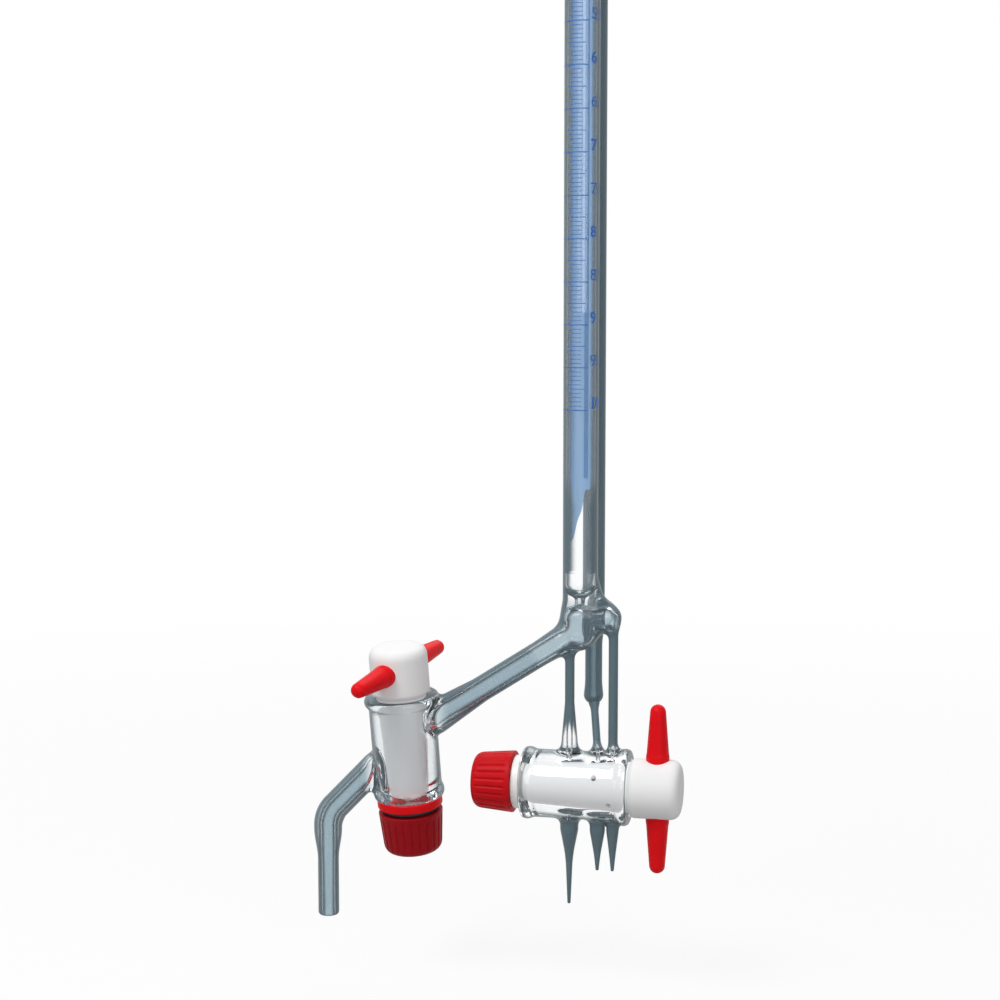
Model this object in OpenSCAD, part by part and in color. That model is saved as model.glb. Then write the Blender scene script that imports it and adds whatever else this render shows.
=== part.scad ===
// Automatic burette of 10 ml with a side-filling stopcock and a three-line delivery stopcock.
// The origin is on the graduated tube's axis at the lowest line of the scale, and +Z is up.
// The arms and narrow tubes lie in the XZ plane, and the return tube stands behind it.

/* [Graduated tube] */
// Outer diameter of the graduated tube
tube_d = 9.5; // [8:0.1:12]
// Wall of the graduated tube
tube_wall = 1; // [0.8:0.1:1.4]
// Length of plain tube under the lowest line, down to the bottom of the bore
tube_below = 50.8; // [40:0.1:70]
// Thickness of glass under the round bottom of the bore
tube_floor = 1.7; // [1:0.1:3]
// Diameter of the throat through that floor
throat_d = 2; // [1.5:0.1:3]

/* [Scale] */
// Volume between the lowest line and the zero tip, in millilitres
capacity = 10; // [8:1:12]
// Height of the taper that closes the bore down to the zero tip
taper_h = 6; // [4:0.5:10]
// Length of the capillary above the taper
capillary_h = 4; // [2:0.5:8]
// Diameter of the capillary's bore
capillary_d = 1.8; // [1:0.1:2.4]
// Wall of the capillary at its mouth
capillary_wall = 0.8; // [0.5:0.1:1.2]
// Turn of the scale's face from -Y, about +Z
scale_turn = -11; // [-30:1:30]
// Depth of the opal stripe in the back of the tube's wall
opal_depth = 0.4; // [0.2:0.05:0.6]
// Angle that the opal stripe covers at the back of the tube
opal_angle = 150; // [90:5:200]
// Depth of the blue line on the opal stripe
blue_depth = 0.2; // [0.1:0.05:0.25]
// Width of the blue line
blue_w = 1.3; // [0.6:0.1:2]
// Distance from the lowest line down to the stripes' lower end
stripe_below = 19.5; // [10:0.5:35]

/* [Return tube] */
// Outer diameter of the return tube
return_d = 5.9; // [5:0.1:6.4]
// Wall of the return tube
return_wall = 0.9; // [0.7:0.1:1.2]
// Gap between the graduated tube and the return tube
return_gap = 0.05; // [0.02:0.01:0.2]
// Direction of the return tube from the graduated tube, from +X towards +Y
return_turn = 71.5; // [60:0.5:90]
// Outer diameter of its lower length, beside the narrow tubes
return_low_d = 4.7; // [4:0.1:4.9]
// Drop of the step to that lower length, under the top of the header
return_step_drop = 7.5; // [2.5:0.1:13.5]
// Height of the step
return_step_h = 4; // [2:0.5:6]
// Drop of its round lower end under the top of the header
return_drop = 29; // [25.5:0.1:31.5]
// Swelling of the lower end beyond its radius
return_swell = 0.35; // [0:0.05:0.5]

/* [Header] */
// Height of the header chamber under the graduated tube's foot
header_h = 12.5; // [10:0.1:15]
// Wall of the header chamber
header_wall = 1.1; // [0.8:0.1:1.5]
// Depth of the side arm's axis under the top of the header
header_arm_drop = 7; // [5:0.1:8]
// Radius of the lobe on its side, over the purge tube
lobe_r = 3.8; // [3:0.1:4.2]
// Depth of the lobe's centre under the top of the header
lobe_drop = 3.6; // [3:0.1:6]
// Rise of the web of glass from the lobe's centre up the side of the graduated tube
web_rise = 6.8; // [5:0.1:8]
// Radius of that web in the lobe
web_root_r = 3.3; // [2.8:0.1:3.5]
// Radius of that web at its upper end
web_r = 1.8; // [1.2:0.1:2.4]

/* [Side arm] */
// Outer diameter of the side arm
arm_d = 7; // [6.4:0.1:8]
// Diameter of its flare at the fill stopcock
arm_flare_d = 9.6; // [7.4:0.1:10]
// Length of that flare, which widens most on the lower side
arm_flare_l = 15; // [10:0.5:20]
// Depth in the arm at which a flare's cone starts
arm_flare_in = 0.2; // [0.1:0.05:0.4]
// Diameter of its flare at the header
arm_head_d = 8.2; // [7.2:0.1:9]
// Length of the flare at the header
arm_head_l = 12; // [8:0.5:16]
// Bore of the side arm
arm_bore = 4.4; // [3:0.1:5]

/* [Narrow tubes] */
// Outer diameter of the titration and purge tubes
narrow_d = 2.6; // [2.2:0.1:2.8]
// Bore of the narrow tubes
narrow_bore = 1.2; // [0.8:0.1:1.4]
// Outer diameter of the drain tube
drain_d = 2.1; // [2:0.1:2.4]
// Bore of the drain tube
drain_bore = 1; // [0.6:0.1:1.2]
// Place of the titration line along the key
titration_x = -2.8; // [-3.2:0.1:-2.4]
// Place of the drain line along the key
drain_x = 5; // [4.8:0.1:5.1]
// Place of the purge line along the key
purge_x = 9.2; // [9:0.1:9.4]
// Height of the titration tube's conical foot
foot_h = 13; // [10:0.5:15]
// Diameter of the conical foot at the barrel
foot_d = 5; // [4:0.1:5.4]
// Height of the small foot of the other two tubes
small_foot_h = 3; // [2:0.5:5]
// Diameter of the drain tube's foot at the barrel
drain_foot_d = 4.6; // [3:0.1:4.7]
// Diameter of the purge tube's foot at the barrel
purge_foot_d = 3.4; // [3:0.1:3.6]

/* [Jets] */
// Root diameter of the titration jet
titration_root_d = 5; // [4:0.1:5.4]
// Length of the titration jet under the barrel
titration_jet_l = 24; // [18:0.5:30]
// Root diameter of the drain jet
drain_root_d = 4.2; // [3.6:0.1:4.4]
// Root diameter of the purge jet
purge_root_d = 3.4; // [3:0.1:3.6]
// Length of the two short jets under the barrel
short_jet_l = 14.2; // [10:0.5:18]
// Outer diameter of a jet at its mouth
jet_mouth_d = 0.9; // [0.8:0.05:1.2]
// Bore of a jet at its mouth
jet_mouth_bore = 0.4; // [0.3:0.05:0.5]

/* [Stopcock barrels] */
// Length of a glass barrel
barrel_l = 29.4; // [28:0.1:32]
// Outer diameter of a glass barrel
barrel_d = 18.6; // [17.6:0.1:20]
// Outer diameter of the flared rim on the handle's side
rim_d = 20.8; // [19.8:0.1:22]
// Height of the flared rim
rim_h = 2.4; // [1.8:0.1:3]
// Height of the cone under the rim
rim_cone_h = 2.6; // [1.5:0.1:4]
// Outer diameter of the bead on the nut's side
bead_d = 19.6; // [19:0.1:21]
// Height of the bead
bead_h = 3; // [2:0.1:4]
// Bore of the barrel at the rim
barrel_bore = 14; // [13:0.1:15]
// Taper of the bore, as its loss of diameter over its length
taper_share = 0.1; // [0.05:0.01:0.15]
// Radial gap between the key and its barrel
key_gap = 0.05; // [0.02:0.01:0.1]

/* [Keys] */
// Diameter of the key's head
head_d = 16.2; // [15:0.1:17.6]
// Length of the key's head
head_l = 13.9; // [12:0.1:16]
// Rounding of the head's outer edge
head_round = 3.4; // [1:0.1:4.5]
// Chamfer of the head's edge on the barrel's side
head_chamfer = 0.8; // [0.3:0.1:1.2]
// Gap between the head and the barrel's rim
head_gap = 0.3; // [0.2:0.05:0.5]
// Distance from the barrel's rim to the handle's axis
handle_rise = 7.7; // [7:0.1:8.5]
// Distance by which the taper stops short of the barrel's end
plug_short = 0.8; // [0.4:0.1:1.5]
// Diameter of the key's threaded stem
stem_d = 8; // [7:0.1:9]
// Distance by which the stem stops short of the nut's end
stem_short = 1.2; // [0.5:0.1:2]
// Diameter of the delivery key's cross bores
delivery_port_d = 1.5; // [1:0.1:1.8]
// Angle between one cross bore and the next about the delivery key
port_turn = 60; // [50:5:60]
// Diameter of the fill key's oblique bore
fill_port_d = 3; // [2:0.1:3.2]
// Rise of the oblique bore from one side of the barrel to the other
fill_port_rise = 14.4; // [12:0.1:15]
// Depth of the oblique bore's middle under the rim
fill_port_mid = 13.6; // [13:0.1:15]

/* [Handles] */
// Length of a handle from tip to tip
handle_l = 46.6; // [40:0.1:52]
// Diameter of the handle where it goes through the head
handle_core_d = 5; // [4:0.1:5.6]
// Diameter of an arm of the handle at the head
handle_root_d = 6.4; // [5.8:0.1:7]
// Diameter of an arm of the handle at its round tip
handle_tip_d = 4.3; // [3.6:0.1:5]

/* [Nuts and seals] */
// Diameter of the delivery stopcock's nut on the barrel's side
delivery_nut_d = 17; // [16:0.1:18.4]
// Length of the delivery stopcock's nut
delivery_nut_l = 11.3; // [10:0.1:13]
// Diameter of the fill stopcock's nut on the barrel's side
fill_nut_d = 18; // [17:0.1:18.8]
// Length of the fill stopcock's nut
fill_nut_l = 11.9; // [10.5:0.1:13]
// Loss of a nut's diameter towards its outer end
nut_loss = 1.8; // [0:0.1:2.4]
// Rounding of a nut's outer edge
nut_round = 2.5; // [1:0.1:3]
// Number of flutes round the nut
flutes = 24; // [18:1:30]
// Diameter of a flute's cutter
flute_d = 1.3; // [0.8:0.1:1.5]
// Depth of a flute
flute_depth = 0.4; // [0.2:0.05:0.6]
// Depth of the recess in the nut that takes the seal
recess_depth = 1.5; // [1.2:0.1:2]
// Diameter of that recess
recess_d = 12.8; // [12:0.1:13.4]
// Thickness of the washer
washer_h = 2.3; // [1.5:0.1:3]
// Diameter of the delivery stopcock's washer
delivery_washer_d = 14.6; // [14:0.1:16]
// Diameter of the fill stopcock's washer
fill_washer_d = 18.2; // [16.6:0.1:18.8]
// Thickness of the rubber rings
seal_d = 1.4; // [1:0.1:1.45]
// Diameter of the delivery rubber ring, across its middle
delivery_seal_d = 10.4; // [9.8:0.1:10.8]
// Diameter of the fill rubber ring, across its middle
fill_seal_d = 14.4; // [14.2:0.1:14.8]
// Gap along the axis between pieces that turn past each other
face_gap = 0.1; // [0.05:0.01:0.2]
// Radial gap between the nut and the stem
nut_gap = 0.05; // [0.02:0.01:0.1]

/* [Delivery stopcock] */
// Place of the rim along X
delivery_rim_x = 13.8; // [13.5:0.1:14.2]
// Drop of the key's axis under the top of the header
delivery_drop = 50.1; // [47.5:0.1:53.5]

/* [Fill stopcock] */
// Distance of the rim's centre from the graduated tube's axis
fill_rim_x = -50; // [-56:0.1:-46]
// Drop of the rim under the top of the header
fill_rim_drop = 27; // [23.5:0.1:29.5]
// Lean of the key's axis from the vertical, away from the graduated tube
fill_lean = 2.6; // [0:0.1:6]
// Nod of the key's axis at its head, towards the reader of the scale
fill_nod = 6.5; // [0:0.5:8]
// Turn of the fill key's handle from the XZ plane, where it is across the flow
fill_turn = 75; // [60:1:90]

/* [Inlet] */
// Outer diameter of the inlet tube at the barrel
inlet_d = 7.9; // [7:0.1:8.4]
// Bore of the inlet tube
inlet_bore = 3.6; // [3:0.1:3.9]
// Slope of the inlet tube under the horizontal
inlet_slope = 46; // [40:1:50]
// Distance of the hose nozzle from the graduated tube's axis
nozzle_x = -72.3; // [-75:0.1:-71]
// Bend radius of the inlet tube
inlet_bend_r = 9; // [7:0.5:10]
// Swelling of the inlet tube and its bore where the bend ends
bend_swell = 0.12; // [0.05:0.01:0.3]
// Outer diameter of the hose nozzle
nozzle_d = 5.9; // [5.6:0.1:6.4]
// Bore of the hose nozzle
nozzle_bore = 3.2; // [2.6:0.1:3.5]
// Height of the taper from the inlet tube to the nozzle
nozzle_taper_h = 8; // [5:0.5:12]
// Drop of the nozzle's end under the rim of the fill stopcock
nozzle_drop = 64.5; // [60:0.5:68.5]
// Rounding of the nozzle's end
nozzle_round = 1; // [0.5:0.1:1.1]

/* [Top] */
// Outer diameter of the overflow bulb
bulb_d = 28; // [26:0.5:34]
// Wall of the overflow bulb
bulb_wall = 1.1; // [0.8:0.1:1.5]
// Drop of the bulb's centre under the mouth of the zero tip
bulb_drop = 2; // [0:0.1:4]
// Length of the neck that seals the bulb to the graduated tube
neck_l = 5; // [3:0.5:8]
// Wall of that neck
neck_wall = 1; // [0.8:0.1:1.4]
// Outer diameter of the vent tube
vent_d = 8.4; // [8:0.1:10]
// Bore of the vent tube
vent_bore = 6.4; // [6:0.1:7]
// Length of the vent tube above the bulb
vent_l = 16; // [10:0.5:24]
// Height of the lip round the vent's mouth
lip_h = 1.4; // [1:0.1:2]
// Overhang of that lip
lip_out = 0.6; // [0.3:0.1:1]

/* [Hidden] */
$fn = 96;

// Overrun of a cut past the face that it opens
over = 1;
// A millilitre is a cubic centimetre
cm = 10;
tube_r = tube_d / 2;
bore_r = tube_r - tube_wall;
capillary_r = capillary_d / 2;
tip_r = capillary_r + capillary_wall;

// The full bore stops where the taper and the capillary hold the rest of the volume
bore_area = PI * bore_r * bore_r;
taper_volume = PI * taper_h * (bore_r * bore_r + bore_r * capillary_r + capillary_r * capillary_r) / 3;
capillary_volume = PI * capillary_r * capillary_r * capillary_h;
full_bore_top = (capacity * cm * cm * cm - taper_volume - capillary_volume) / bore_area;
zero_z = full_bore_top + taper_h + capillary_h;
bore_floor = -tube_below;
header_top = bore_floor - tube_floor;
header_bottom = header_top - header_h;
arm_z = header_top - header_arm_drop;
lobe_z = header_top - lobe_drop;
lobe_x = purge_x + narrow_d / 2 - lobe_r;
stripe_l = full_bore_top + stripe_below;
opal_r = tube_r - opal_depth;
blue_angle = 2 * asin(blue_w / 2 / opal_r);

return_r = return_d / 2;
return_low_r = return_low_d / 2;
return_reach = tube_r + return_r + return_gap;
return_at = [return_reach * cos(return_turn), return_reach * sin(return_turn), 0];
return_end_r = return_low_r + return_swell;
return_step_z = header_top - return_step_drop;
return_end_z = header_top - return_drop + return_end_r;

bulb_r = bulb_d / 2;
bulb_inner_r = bulb_r - bulb_wall;
bulb_z = zero_z - bulb_drop;
neck_r = tube_r + neck_wall;
neck_top = bulb_z - sqrt(bulb_inner_r * bulb_inner_r - tube_r * tube_r);
neck_bottom = neck_top - neck_l;
vent_r = vent_d / 2;
vent_seat = bulb_z + sqrt(bulb_inner_r * bulb_inner_r - vent_r * vent_r);
vent_top = bulb_z + bulb_r + vent_l;

barrel_r = barrel_d / 2;
key_z = header_top - delivery_drop;
barrel_top = key_z + barrel_r;
plug_l = barrel_l - plug_short;
stem_r = stem_d / 2;
head_r = head_d / 2;
line_xs = [titration_x, drain_x, purge_x];
short_shoulder_share = 0.7;
washer_face = -barrel_l - face_gap - washer_h;
delivery_nut_face = washer_face - face_gap;
fill_nut_face = washer_face - seal_d - face_gap;
fill_rim_z = header_top - fill_rim_drop;

// Points in the fill stopcock: x across its axis, z along it from the rim. It leans in the XZ
// plane and nods about the middle of its oblique bore, so its ports stand a little out of the plane
function fill_at(x, z) = [
  fill_rim_x + x * cos(fill_lean) - fill_along(z) * sin(fill_lean),
  -(z + fill_port_mid) * sin(fill_nod),
  fill_rim_z + x * sin(fill_lean) + fill_along(z) * cos(fill_lean)
];
function fill_along(z) = (z + fill_port_mid) * cos(fill_nod) - fill_port_mid;
fill_slope = atan2(fill_port_rise, barrel_d);
arm_port = fill_at(barrel_r, fill_port_rise / 2 - fill_port_mid);
inlet_port = fill_at(-barrel_r, -fill_port_rise / 2 - fill_port_mid);
arm_drop = arm_z - arm_port[2];
arm_reach = norm([arm_port[0], arm_port[1]]);
arm_slope = atan2(arm_drop, arm_reach);
arm_turn = atan2(arm_port[1], arm_port[0]);
arm_run = norm([arm_drop, arm_reach]);

// The inlet tube falls along its slope, bends to the vertical and tapers to the nozzle
inlet_turn = 90 - inlet_slope;
inlet_start_in = barrel_r / 2;
inlet_fall = (inlet_port[0] - nozzle_x - inlet_bend_r * (1 - cos(inlet_turn))) / sin(inlet_turn);
inlet_bend_end = inlet_port[2] - inlet_fall * cos(inlet_turn) - inlet_bend_r * sin(inlet_turn);
nozzle_r = nozzle_d / 2;
nozzle_l = inlet_bend_end - nozzle_taper_h - (fill_rim_z - nozzle_drop);

// A rod of straight and bent lengths in the XZ plane, laid end to end from the origin up +Z.
// A straight length is [distance] and a bend is [radius, angle]; a positive angle turns to +X.
// A bend ends in a slight swelling, and what stands on the rod's far end is given as a child.
module laid_rod(steps, r, i = 0) {
  if (i < len(steps)) {
    step = steps[i];
    if (len(step) == 1) {
      cylinder(r = r, h = step[0]);
      translate([0, 0, step[0]]) laid_rod(steps, r, i + 1) children();
    } else {
      side = step[1] < 0 ? 180 : 0;
      rotate([0, 0, side])
        translate([step[0], 0, 0]) {
          rotate([90, 0, 180])
            rotate_extrude(angle = abs(step[1]))
              translate([step[0], 0]) circle(r = r);
          rotate([0, abs(step[1]), 0])
            translate([-step[0], 0, 0]) {
              sphere(r = r + bend_swell);
              rotate([0, 0, -side]) laid_rod(steps, r, i + 1) children();
            }
        }
    }
  } else {
    children();
  }
}

// A disc with a full round edge, standing on z = 0
module round_disc(r, h) {
  rotate_extrude() {
    square([r - h / 2, h]);
    translate([r - h / 2, h / 2]) circle(d = h);
  }
}

// A cylinder that stands on z = 0, with its upper edge rounded
module domed_rod(r, h, edge) {
  rotate_extrude() {
    square([r, h - edge]);
    square([r - edge, h]);
    translate([r - edge, h - edge]) circle(r = edge);
  }
}

// The frame of the delivery stopcock: z along the key from the rim to the head
module in_delivery() {
  translate([delivery_rim_x, 0, key_z]) rotate([0, 90, 0]) children();
}

// The frame of the fill stopcock, in the same sense
module in_fill() {
  translate([fill_rim_x, 0, fill_rim_z])
    rotate([0, -fill_lean, 0])
      translate([0, 0, -fill_port_mid])
        rotate([fill_nod, 0, 0])
          translate([0, 0, fill_port_mid]) children();
}

// The bore narrows from the rim towards the nut
function taper_r(z, gap = 0) = barrel_bore / 2 + z * taper_share / 2 - gap;

// The outside of a glass barrel: body, flared rim with its cone, and bead
module barrel_outside() {
  translate([0, 0, -barrel_l + bead_h / 2])
    cylinder(r = barrel_r, h = barrel_l - bead_h / 2 - rim_h / 2);
  translate([0, 0, -rim_h]) round_disc(rim_d / 2, rim_h);
  translate([0, 0, -rim_h / 2 - rim_cone_h])
    cylinder(r1 = barrel_r, r2 = (rim_d + barrel_d) / 4, h = rim_cone_h);
  translate([0, 0, -barrel_l]) round_disc(bead_d / 2, bead_h);
}

module barrel_bore_cut() {
  translate([0, 0, -barrel_l - over])
    cylinder(r1 = taper_r(-barrel_l - over), r2 = taper_r(over), h = barrel_l + 2 * over);
}

// The oblique bore through the fill stopcock, from low on -X to high on +X
module oblique_bore() {
  translate([0, 0, -fill_port_mid])
    rotate([0, 90 - fill_slope, 0])
      cylinder(d = fill_port_d, h = 2 * barrel_d, center = true);
}

// A white key: head, taper and threaded stem, with the hole that the handle goes through
module key(stem_end) {
  difference() {
    union() {
      translate([0, 0, head_gap + head_chamfer])
        domed_rod(head_r, head_l - head_chamfer, head_round);
      translate([0, 0, head_gap])
        cylinder(r1 = head_r - head_chamfer, r2 = head_r, h = head_chamfer);
      translate([0, 0, -plug_l])
        cylinder(
          r1 = taper_r(-plug_l, key_gap),
          r2 = taper_r(handle_rise, key_gap),
          h = plug_l + handle_rise
        );
      translate([0, 0, stem_end]) cylinder(r = stem_r, h = -stem_end);
    }
    translate([0, 0, handle_rise])
      rotate([0, 90, 0]) cylinder(d = handle_core_d, h = head_d + 2 * over, center = true);
  }
}

// A red handle: a core through the head, and two tapered arms seated on its round side
module handle() {
  arm_l = (handle_l - handle_tip_d) / 2;
  translate([0, 0, handle_rise]) {
    rotate([0, 90, 0]) cylinder(d = handle_core_d, h = head_d, center = true);
    difference() {
      for (side = [0, 180])
        rotate([0, 0, side]) {
          rotate([0, 90, 0]) cylinder(d1 = handle_root_d, d2 = handle_tip_d, h = arm_l);
          translate([arm_l, 0, 0]) sphere(d = handle_tip_d);
        }
      cylinder(r = head_r, h = head_l, center = true);
    }
  }
}

module washer(d) {
  translate([0, 0, washer_face])
    difference() {
      cylinder(d = d, h = washer_h);
      translate([0, 0, -over]) cylinder(r = stem_r, h = washer_h + 2 * over);
    }
}

module seal(d) {
  translate([0, 0, washer_face - seal_d / 2])
    rotate_extrude() translate([d / 2, 0]) circle(d = seal_d);
}

// A fluted hand nut that narrows away from the barrel, with its face at z = 0
module nut(d, l) {
  nut_slope = atan2(nut_loss / 2, l);
  difference() {
    intersection() {
      translate([0, 0, -l]) cylinder(d1 = d - nut_loss, d2 = d, h = l);
      rotate([180, 0, 0]) domed_rod(d / 2, l, nut_round + nut_loss / 2);
    }
    translate([0, 0, -l - over]) cylinder(r = stem_r + nut_gap, h = l + 2 * over);
    translate([0, 0, -recess_depth]) cylinder(d = recess_d, h = recess_depth + over);
    for (i = [0 : flutes - 1])
      rotate([0, 0, i * 360 / flutes])
        translate([d / 2 + flute_d / 2 - flute_depth, 0, 0])
          rotate([0, nut_slope, 0])
            translate([0, 0, -2 * l]) cylinder(d = flute_d, h = 2 * l - 2 * flute_depth);
  }
}

// A drawn jet that hangs from z = 0: a stout root, a shoulder down to the waist and a fine point
module jet(root_d, l, bore, shoulder_share, waist_share) {
  root_share = 0.12;
  root_l = l * root_share;
  shoulder_l = l * shoulder_share;
  waist_d = root_d * waist_share;
  sunk = barrel_r / 2;
  difference() {
    rotate_extrude()
      polygon([
        [0, sunk], [root_d / 2, sunk], [root_d / 2, -root_l], [waist_d / 2, -shoulder_l],
        [jet_mouth_d / 2, -l], [0, -l]
      ]);
    translate([0, 0, -shoulder_l]) cylinder(d = bore, h = shoulder_l + sunk + over);
    translate([0, 0, -l]) cylinder(d1 = jet_mouth_bore, d2 = bore, h = l - shoulder_l);
    translate([0, 0, -l - over]) cylinder(d = jet_mouth_bore, h = over + jet_mouth_bore);
  }
}

// A conical foot that widens down to the barrel, standing on the key's level at z = 0
module foot(d, foot_bottom_d, h) {
  translate([0, 0, barrel_r]) cylinder(d1 = foot_bottom_d, d2 = d, h = h);
  cylinder(d = foot_bottom_d, h = barrel_r);
}

// The header's form: the graduated tube's own width with a round bottom, and a lobe on +X
module header_form(wall) {
  r = tube_r - wall;
  translate([0, 0, header_bottom + tube_r]) {
    cylinder(r = r, h = header_h - tube_r - wall);
    sphere(r = r);
  }
  translate([0, 0, lobe_z]) {
    rotate([0, 90, 0]) cylinder(r1 = r, r2 = lobe_r - wall, h = lobe_x);
    translate([lobe_x, 0, 0]) sphere(r = lobe_r - wall);
  }
}

module header_outside() {
  web_in = lobe_x - tube_r;
  difference() {
    union() {
      header_form(0);
      translate([lobe_x, 0, lobe_z])
        rotate([0, -atan2(web_in, web_rise), 0])
          cylinder(r1 = web_root_r, r2 = web_r, h = norm([web_in, web_rise]));
    }
    translate([0, 0, header_top]) cylinder(r = tube_r, h = tube_below);
  }
}

module return_outside() {
  translate(return_at) {
    translate([0, 0, return_step_z]) cylinder(r = return_r, h = bulb_z - return_step_z);
    translate([0, 0, return_step_z - return_step_h])
      cylinder(r1 = return_low_r, r2 = return_r, h = return_step_h);
    translate([0, 0, return_end_z]) {
      cylinder(r = return_low_r, h = return_step_z - return_step_h / 2 - return_end_z);
      sphere(r = return_end_r);
    }
  }
}

module return_bore(top) {
  translate(return_at) {
    translate([0, 0, return_step_z]) cylinder(r = return_r - return_wall, h = top - return_step_z);
    translate([0, 0, return_step_z - return_step_h])
      cylinder(r1 = return_low_r - return_wall, r2 = return_r - return_wall, h = return_step_h);
    translate([0, 0, return_end_z]) {
      cylinder(
        r = return_low_r - return_wall,
        h = return_step_z - return_step_h / 2 - return_end_z
      );
      sphere(r = return_low_r - return_wall);
    }
  }
}

// The drain tube slants from the return tube's round end forward and down into the barrel
module drain_run(d, foot_bottom_d) {
  start = [return_at[0], return_at[1], return_end_z];
  run = [drain_x, 0, barrel_top] - start;
  translate(start)
    rotate([0, acos(run[2] / norm(run)), atan2(run[1], run[0])]) {
      cylinder(d = d, h = norm(run) - small_foot_h);
      translate([0, 0, norm(run) - small_foot_h])
        cylinder(d1 = d, d2 = foot_bottom_d, h = small_foot_h);
      translate([0, 0, norm(run)]) cylinder(d = foot_bottom_d, h = barrel_r / 2);
    }
}

module titration_run(d, foot_bottom_d) {
  translate([titration_x, 0, key_z]) {
    foot(d, foot_bottom_d, foot_h);
    translate([0, 0, barrel_r]) cylinder(d = d, h = header_bottom + tube_r - barrel_top);
  }
}

module purge_run(d, foot_bottom_d) {
  translate([purge_x, 0, key_z]) {
    foot(d, foot_bottom_d, small_foot_h);
    translate([0, 0, barrel_r]) cylinder(d = d, h = lobe_z - barrel_top);
  }
}

// The frame of the side arm: z along it from the header to its port, x down across it
module in_arm() {
  translate([0, 0, arm_z]) rotate([0, 0, arm_turn]) rotate([0, 90 + arm_slope, 0]) children();
}

module arm_rod(d) {
  in_arm() cylinder(d = d, h = arm_run + barrel_r / 2);
}

// The side arm with its flares: the one at the fill stopcock grows out of the arm's lower side
module arm_outside() {
  flare_start_r = arm_d / 2 - arm_flare_in;
  flare_slope = atan2(arm_flare_d / 2 - flare_start_r, arm_flare_l);
  flare_h = arm_flare_l + barrel_r / 2;
  flare_tilt_share = 0.6;
  arm_rod(arm_d);
  in_arm() {
    cylinder(d1 = arm_head_d, d2 = arm_d - 2 * arm_flare_in, h = arm_head_l);
    translate([0, 0, arm_run - arm_flare_l])
      rotate([0, flare_slope * flare_tilt_share, 0])
        cylinder(r1 = flare_start_r, r2 = flare_start_r + flare_h * tan(flare_slope), h = flare_h);
  }
}

module inlet_rod(r) {
  translate(inlet_port)
    rotate([0, -90 - inlet_slope, 0])
      translate([0, 0, -inlet_start_in])
        laid_rod([[inlet_fall + inlet_start_in], [inlet_bend_r, -inlet_turn]], r) children();
}

// Part of a ring at the tube's back, opposite the face of the scale
module back_ring(inner, outer, angle, low, h) {
  rotate([0, 0, 90 + scale_turn - angle / 2])
    translate([0, 0, low])
      rotate_extrude(angle = angle) translate([inner, 0]) square([outer - inner, h]);
}

module opal_space() {
  back_ring(opal_r, tube_r + over, opal_angle, -stripe_below, stripe_l);
}

module graduated_tube() {
  color("aliceblue")
    difference() {
      translate([0, 0, header_top]) cylinder(r = tube_r, h = full_bore_top - header_top);
      translate([0, 0, bore_floor + bore_r]) cylinder(r = bore_r, h = full_bore_top - bore_floor);
      translate([0, 0, bore_floor + bore_r]) sphere(r = bore_r);
      translate([0, 0, header_top - over]) cylinder(d = throat_d, h = tube_floor + bore_r + over);
      opal_space();
    }
}

module opal_stripe() {
  color("lightsteelblue")
    difference() {
      back_ring(opal_r, tube_r, opal_angle, -stripe_below, stripe_l);
      back_ring(opal_r - over, opal_r + blue_depth, blue_angle, -stripe_below, stripe_l);
    }
}

module blue_stripe() {
  color("royalblue")
    back_ring(opal_r, opal_r + blue_depth, blue_angle, -stripe_below, stripe_l);
}

module zero_tip() {
  color("aliceblue")
    translate([0, 0, full_bore_top])
      difference() {
        union() {
          cylinder(r1 = tube_r, r2 = tip_r, h = taper_h);
          translate([0, 0, taper_h]) cylinder(r = tip_r, h = capillary_h);
        }
        cylinder(r1 = bore_r, r2 = capillary_r, h = taper_h);
        translate([0, 0, taper_h / 2]) cylinder(r = capillary_r, h = taper_h + capillary_h);
      }
}

// The bulb is a blown sphere with a neck that is sealed round the graduated tube
module bulb_outside() {
  translate([0, 0, bulb_z]) sphere(r = bulb_r);
  translate([0, 0, neck_bottom]) cylinder(r = neck_r, h = bulb_z - neck_bottom);
}

module overflow_bulb() {
  color("aliceblue")
    difference() {
      bulb_outside();
      translate([0, 0, bulb_z]) sphere(r = bulb_inner_r);
      translate([0, 0, neck_bottom - over]) cylinder(r = tube_r, h = bulb_z - neck_bottom);
      translate([0, 0, bulb_z]) cylinder(r = vent_r, h = bulb_d);
      return_bore(bulb_z);
    }
}

module vent_tube() {
  color("aliceblue")
    difference() {
      union() {
        translate([0, 0, vent_seat]) cylinder(r = vent_r, h = vent_top - vent_seat - lip_h / 2);
        translate([0, 0, vent_top - lip_h]) round_disc(vent_r + lip_out, lip_h);
      }
      translate([0, 0, vent_seat - over]) cylinder(d = vent_bore, h = vent_top - vent_seat + 2 * over);
    }
}

module return_tube() {
  color("aliceblue")
    difference() {
      return_outside();
      return_bore(bulb_z);
      bulb_outside();
      drain_run(drain_bore, drain_bore);
    }
}

module header_chamber() {
  color("aliceblue")
    difference() {
      header_outside();
      intersection() {
        header_form(header_wall);
        translate([-tube_d, -tube_d, header_bottom])
          cube([3 * tube_d, 2 * tube_d, header_h - header_wall]);
      }
      translate([0, 0, header_top - 2 * header_wall])
        cylinder(d = throat_d, h = 2 * header_wall + over);
      return_outside();
      arm_rod(arm_bore);
      titration_run(narrow_bore, narrow_bore);
      purge_run(narrow_bore, narrow_bore);
    }
}

module side_arm() {
  color("aliceblue")
    difference() {
      arm_outside();
      arm_rod(arm_bore);
      header_outside();
      in_fill() barrel_outside();
    }
}

module titration_tube() {
  color("aliceblue")
    difference() {
      titration_run(narrow_d, foot_d);
      titration_run(narrow_bore, narrow_bore);
      header_outside();
      arm_outside();
      in_delivery() barrel_outside();
    }
}

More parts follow.
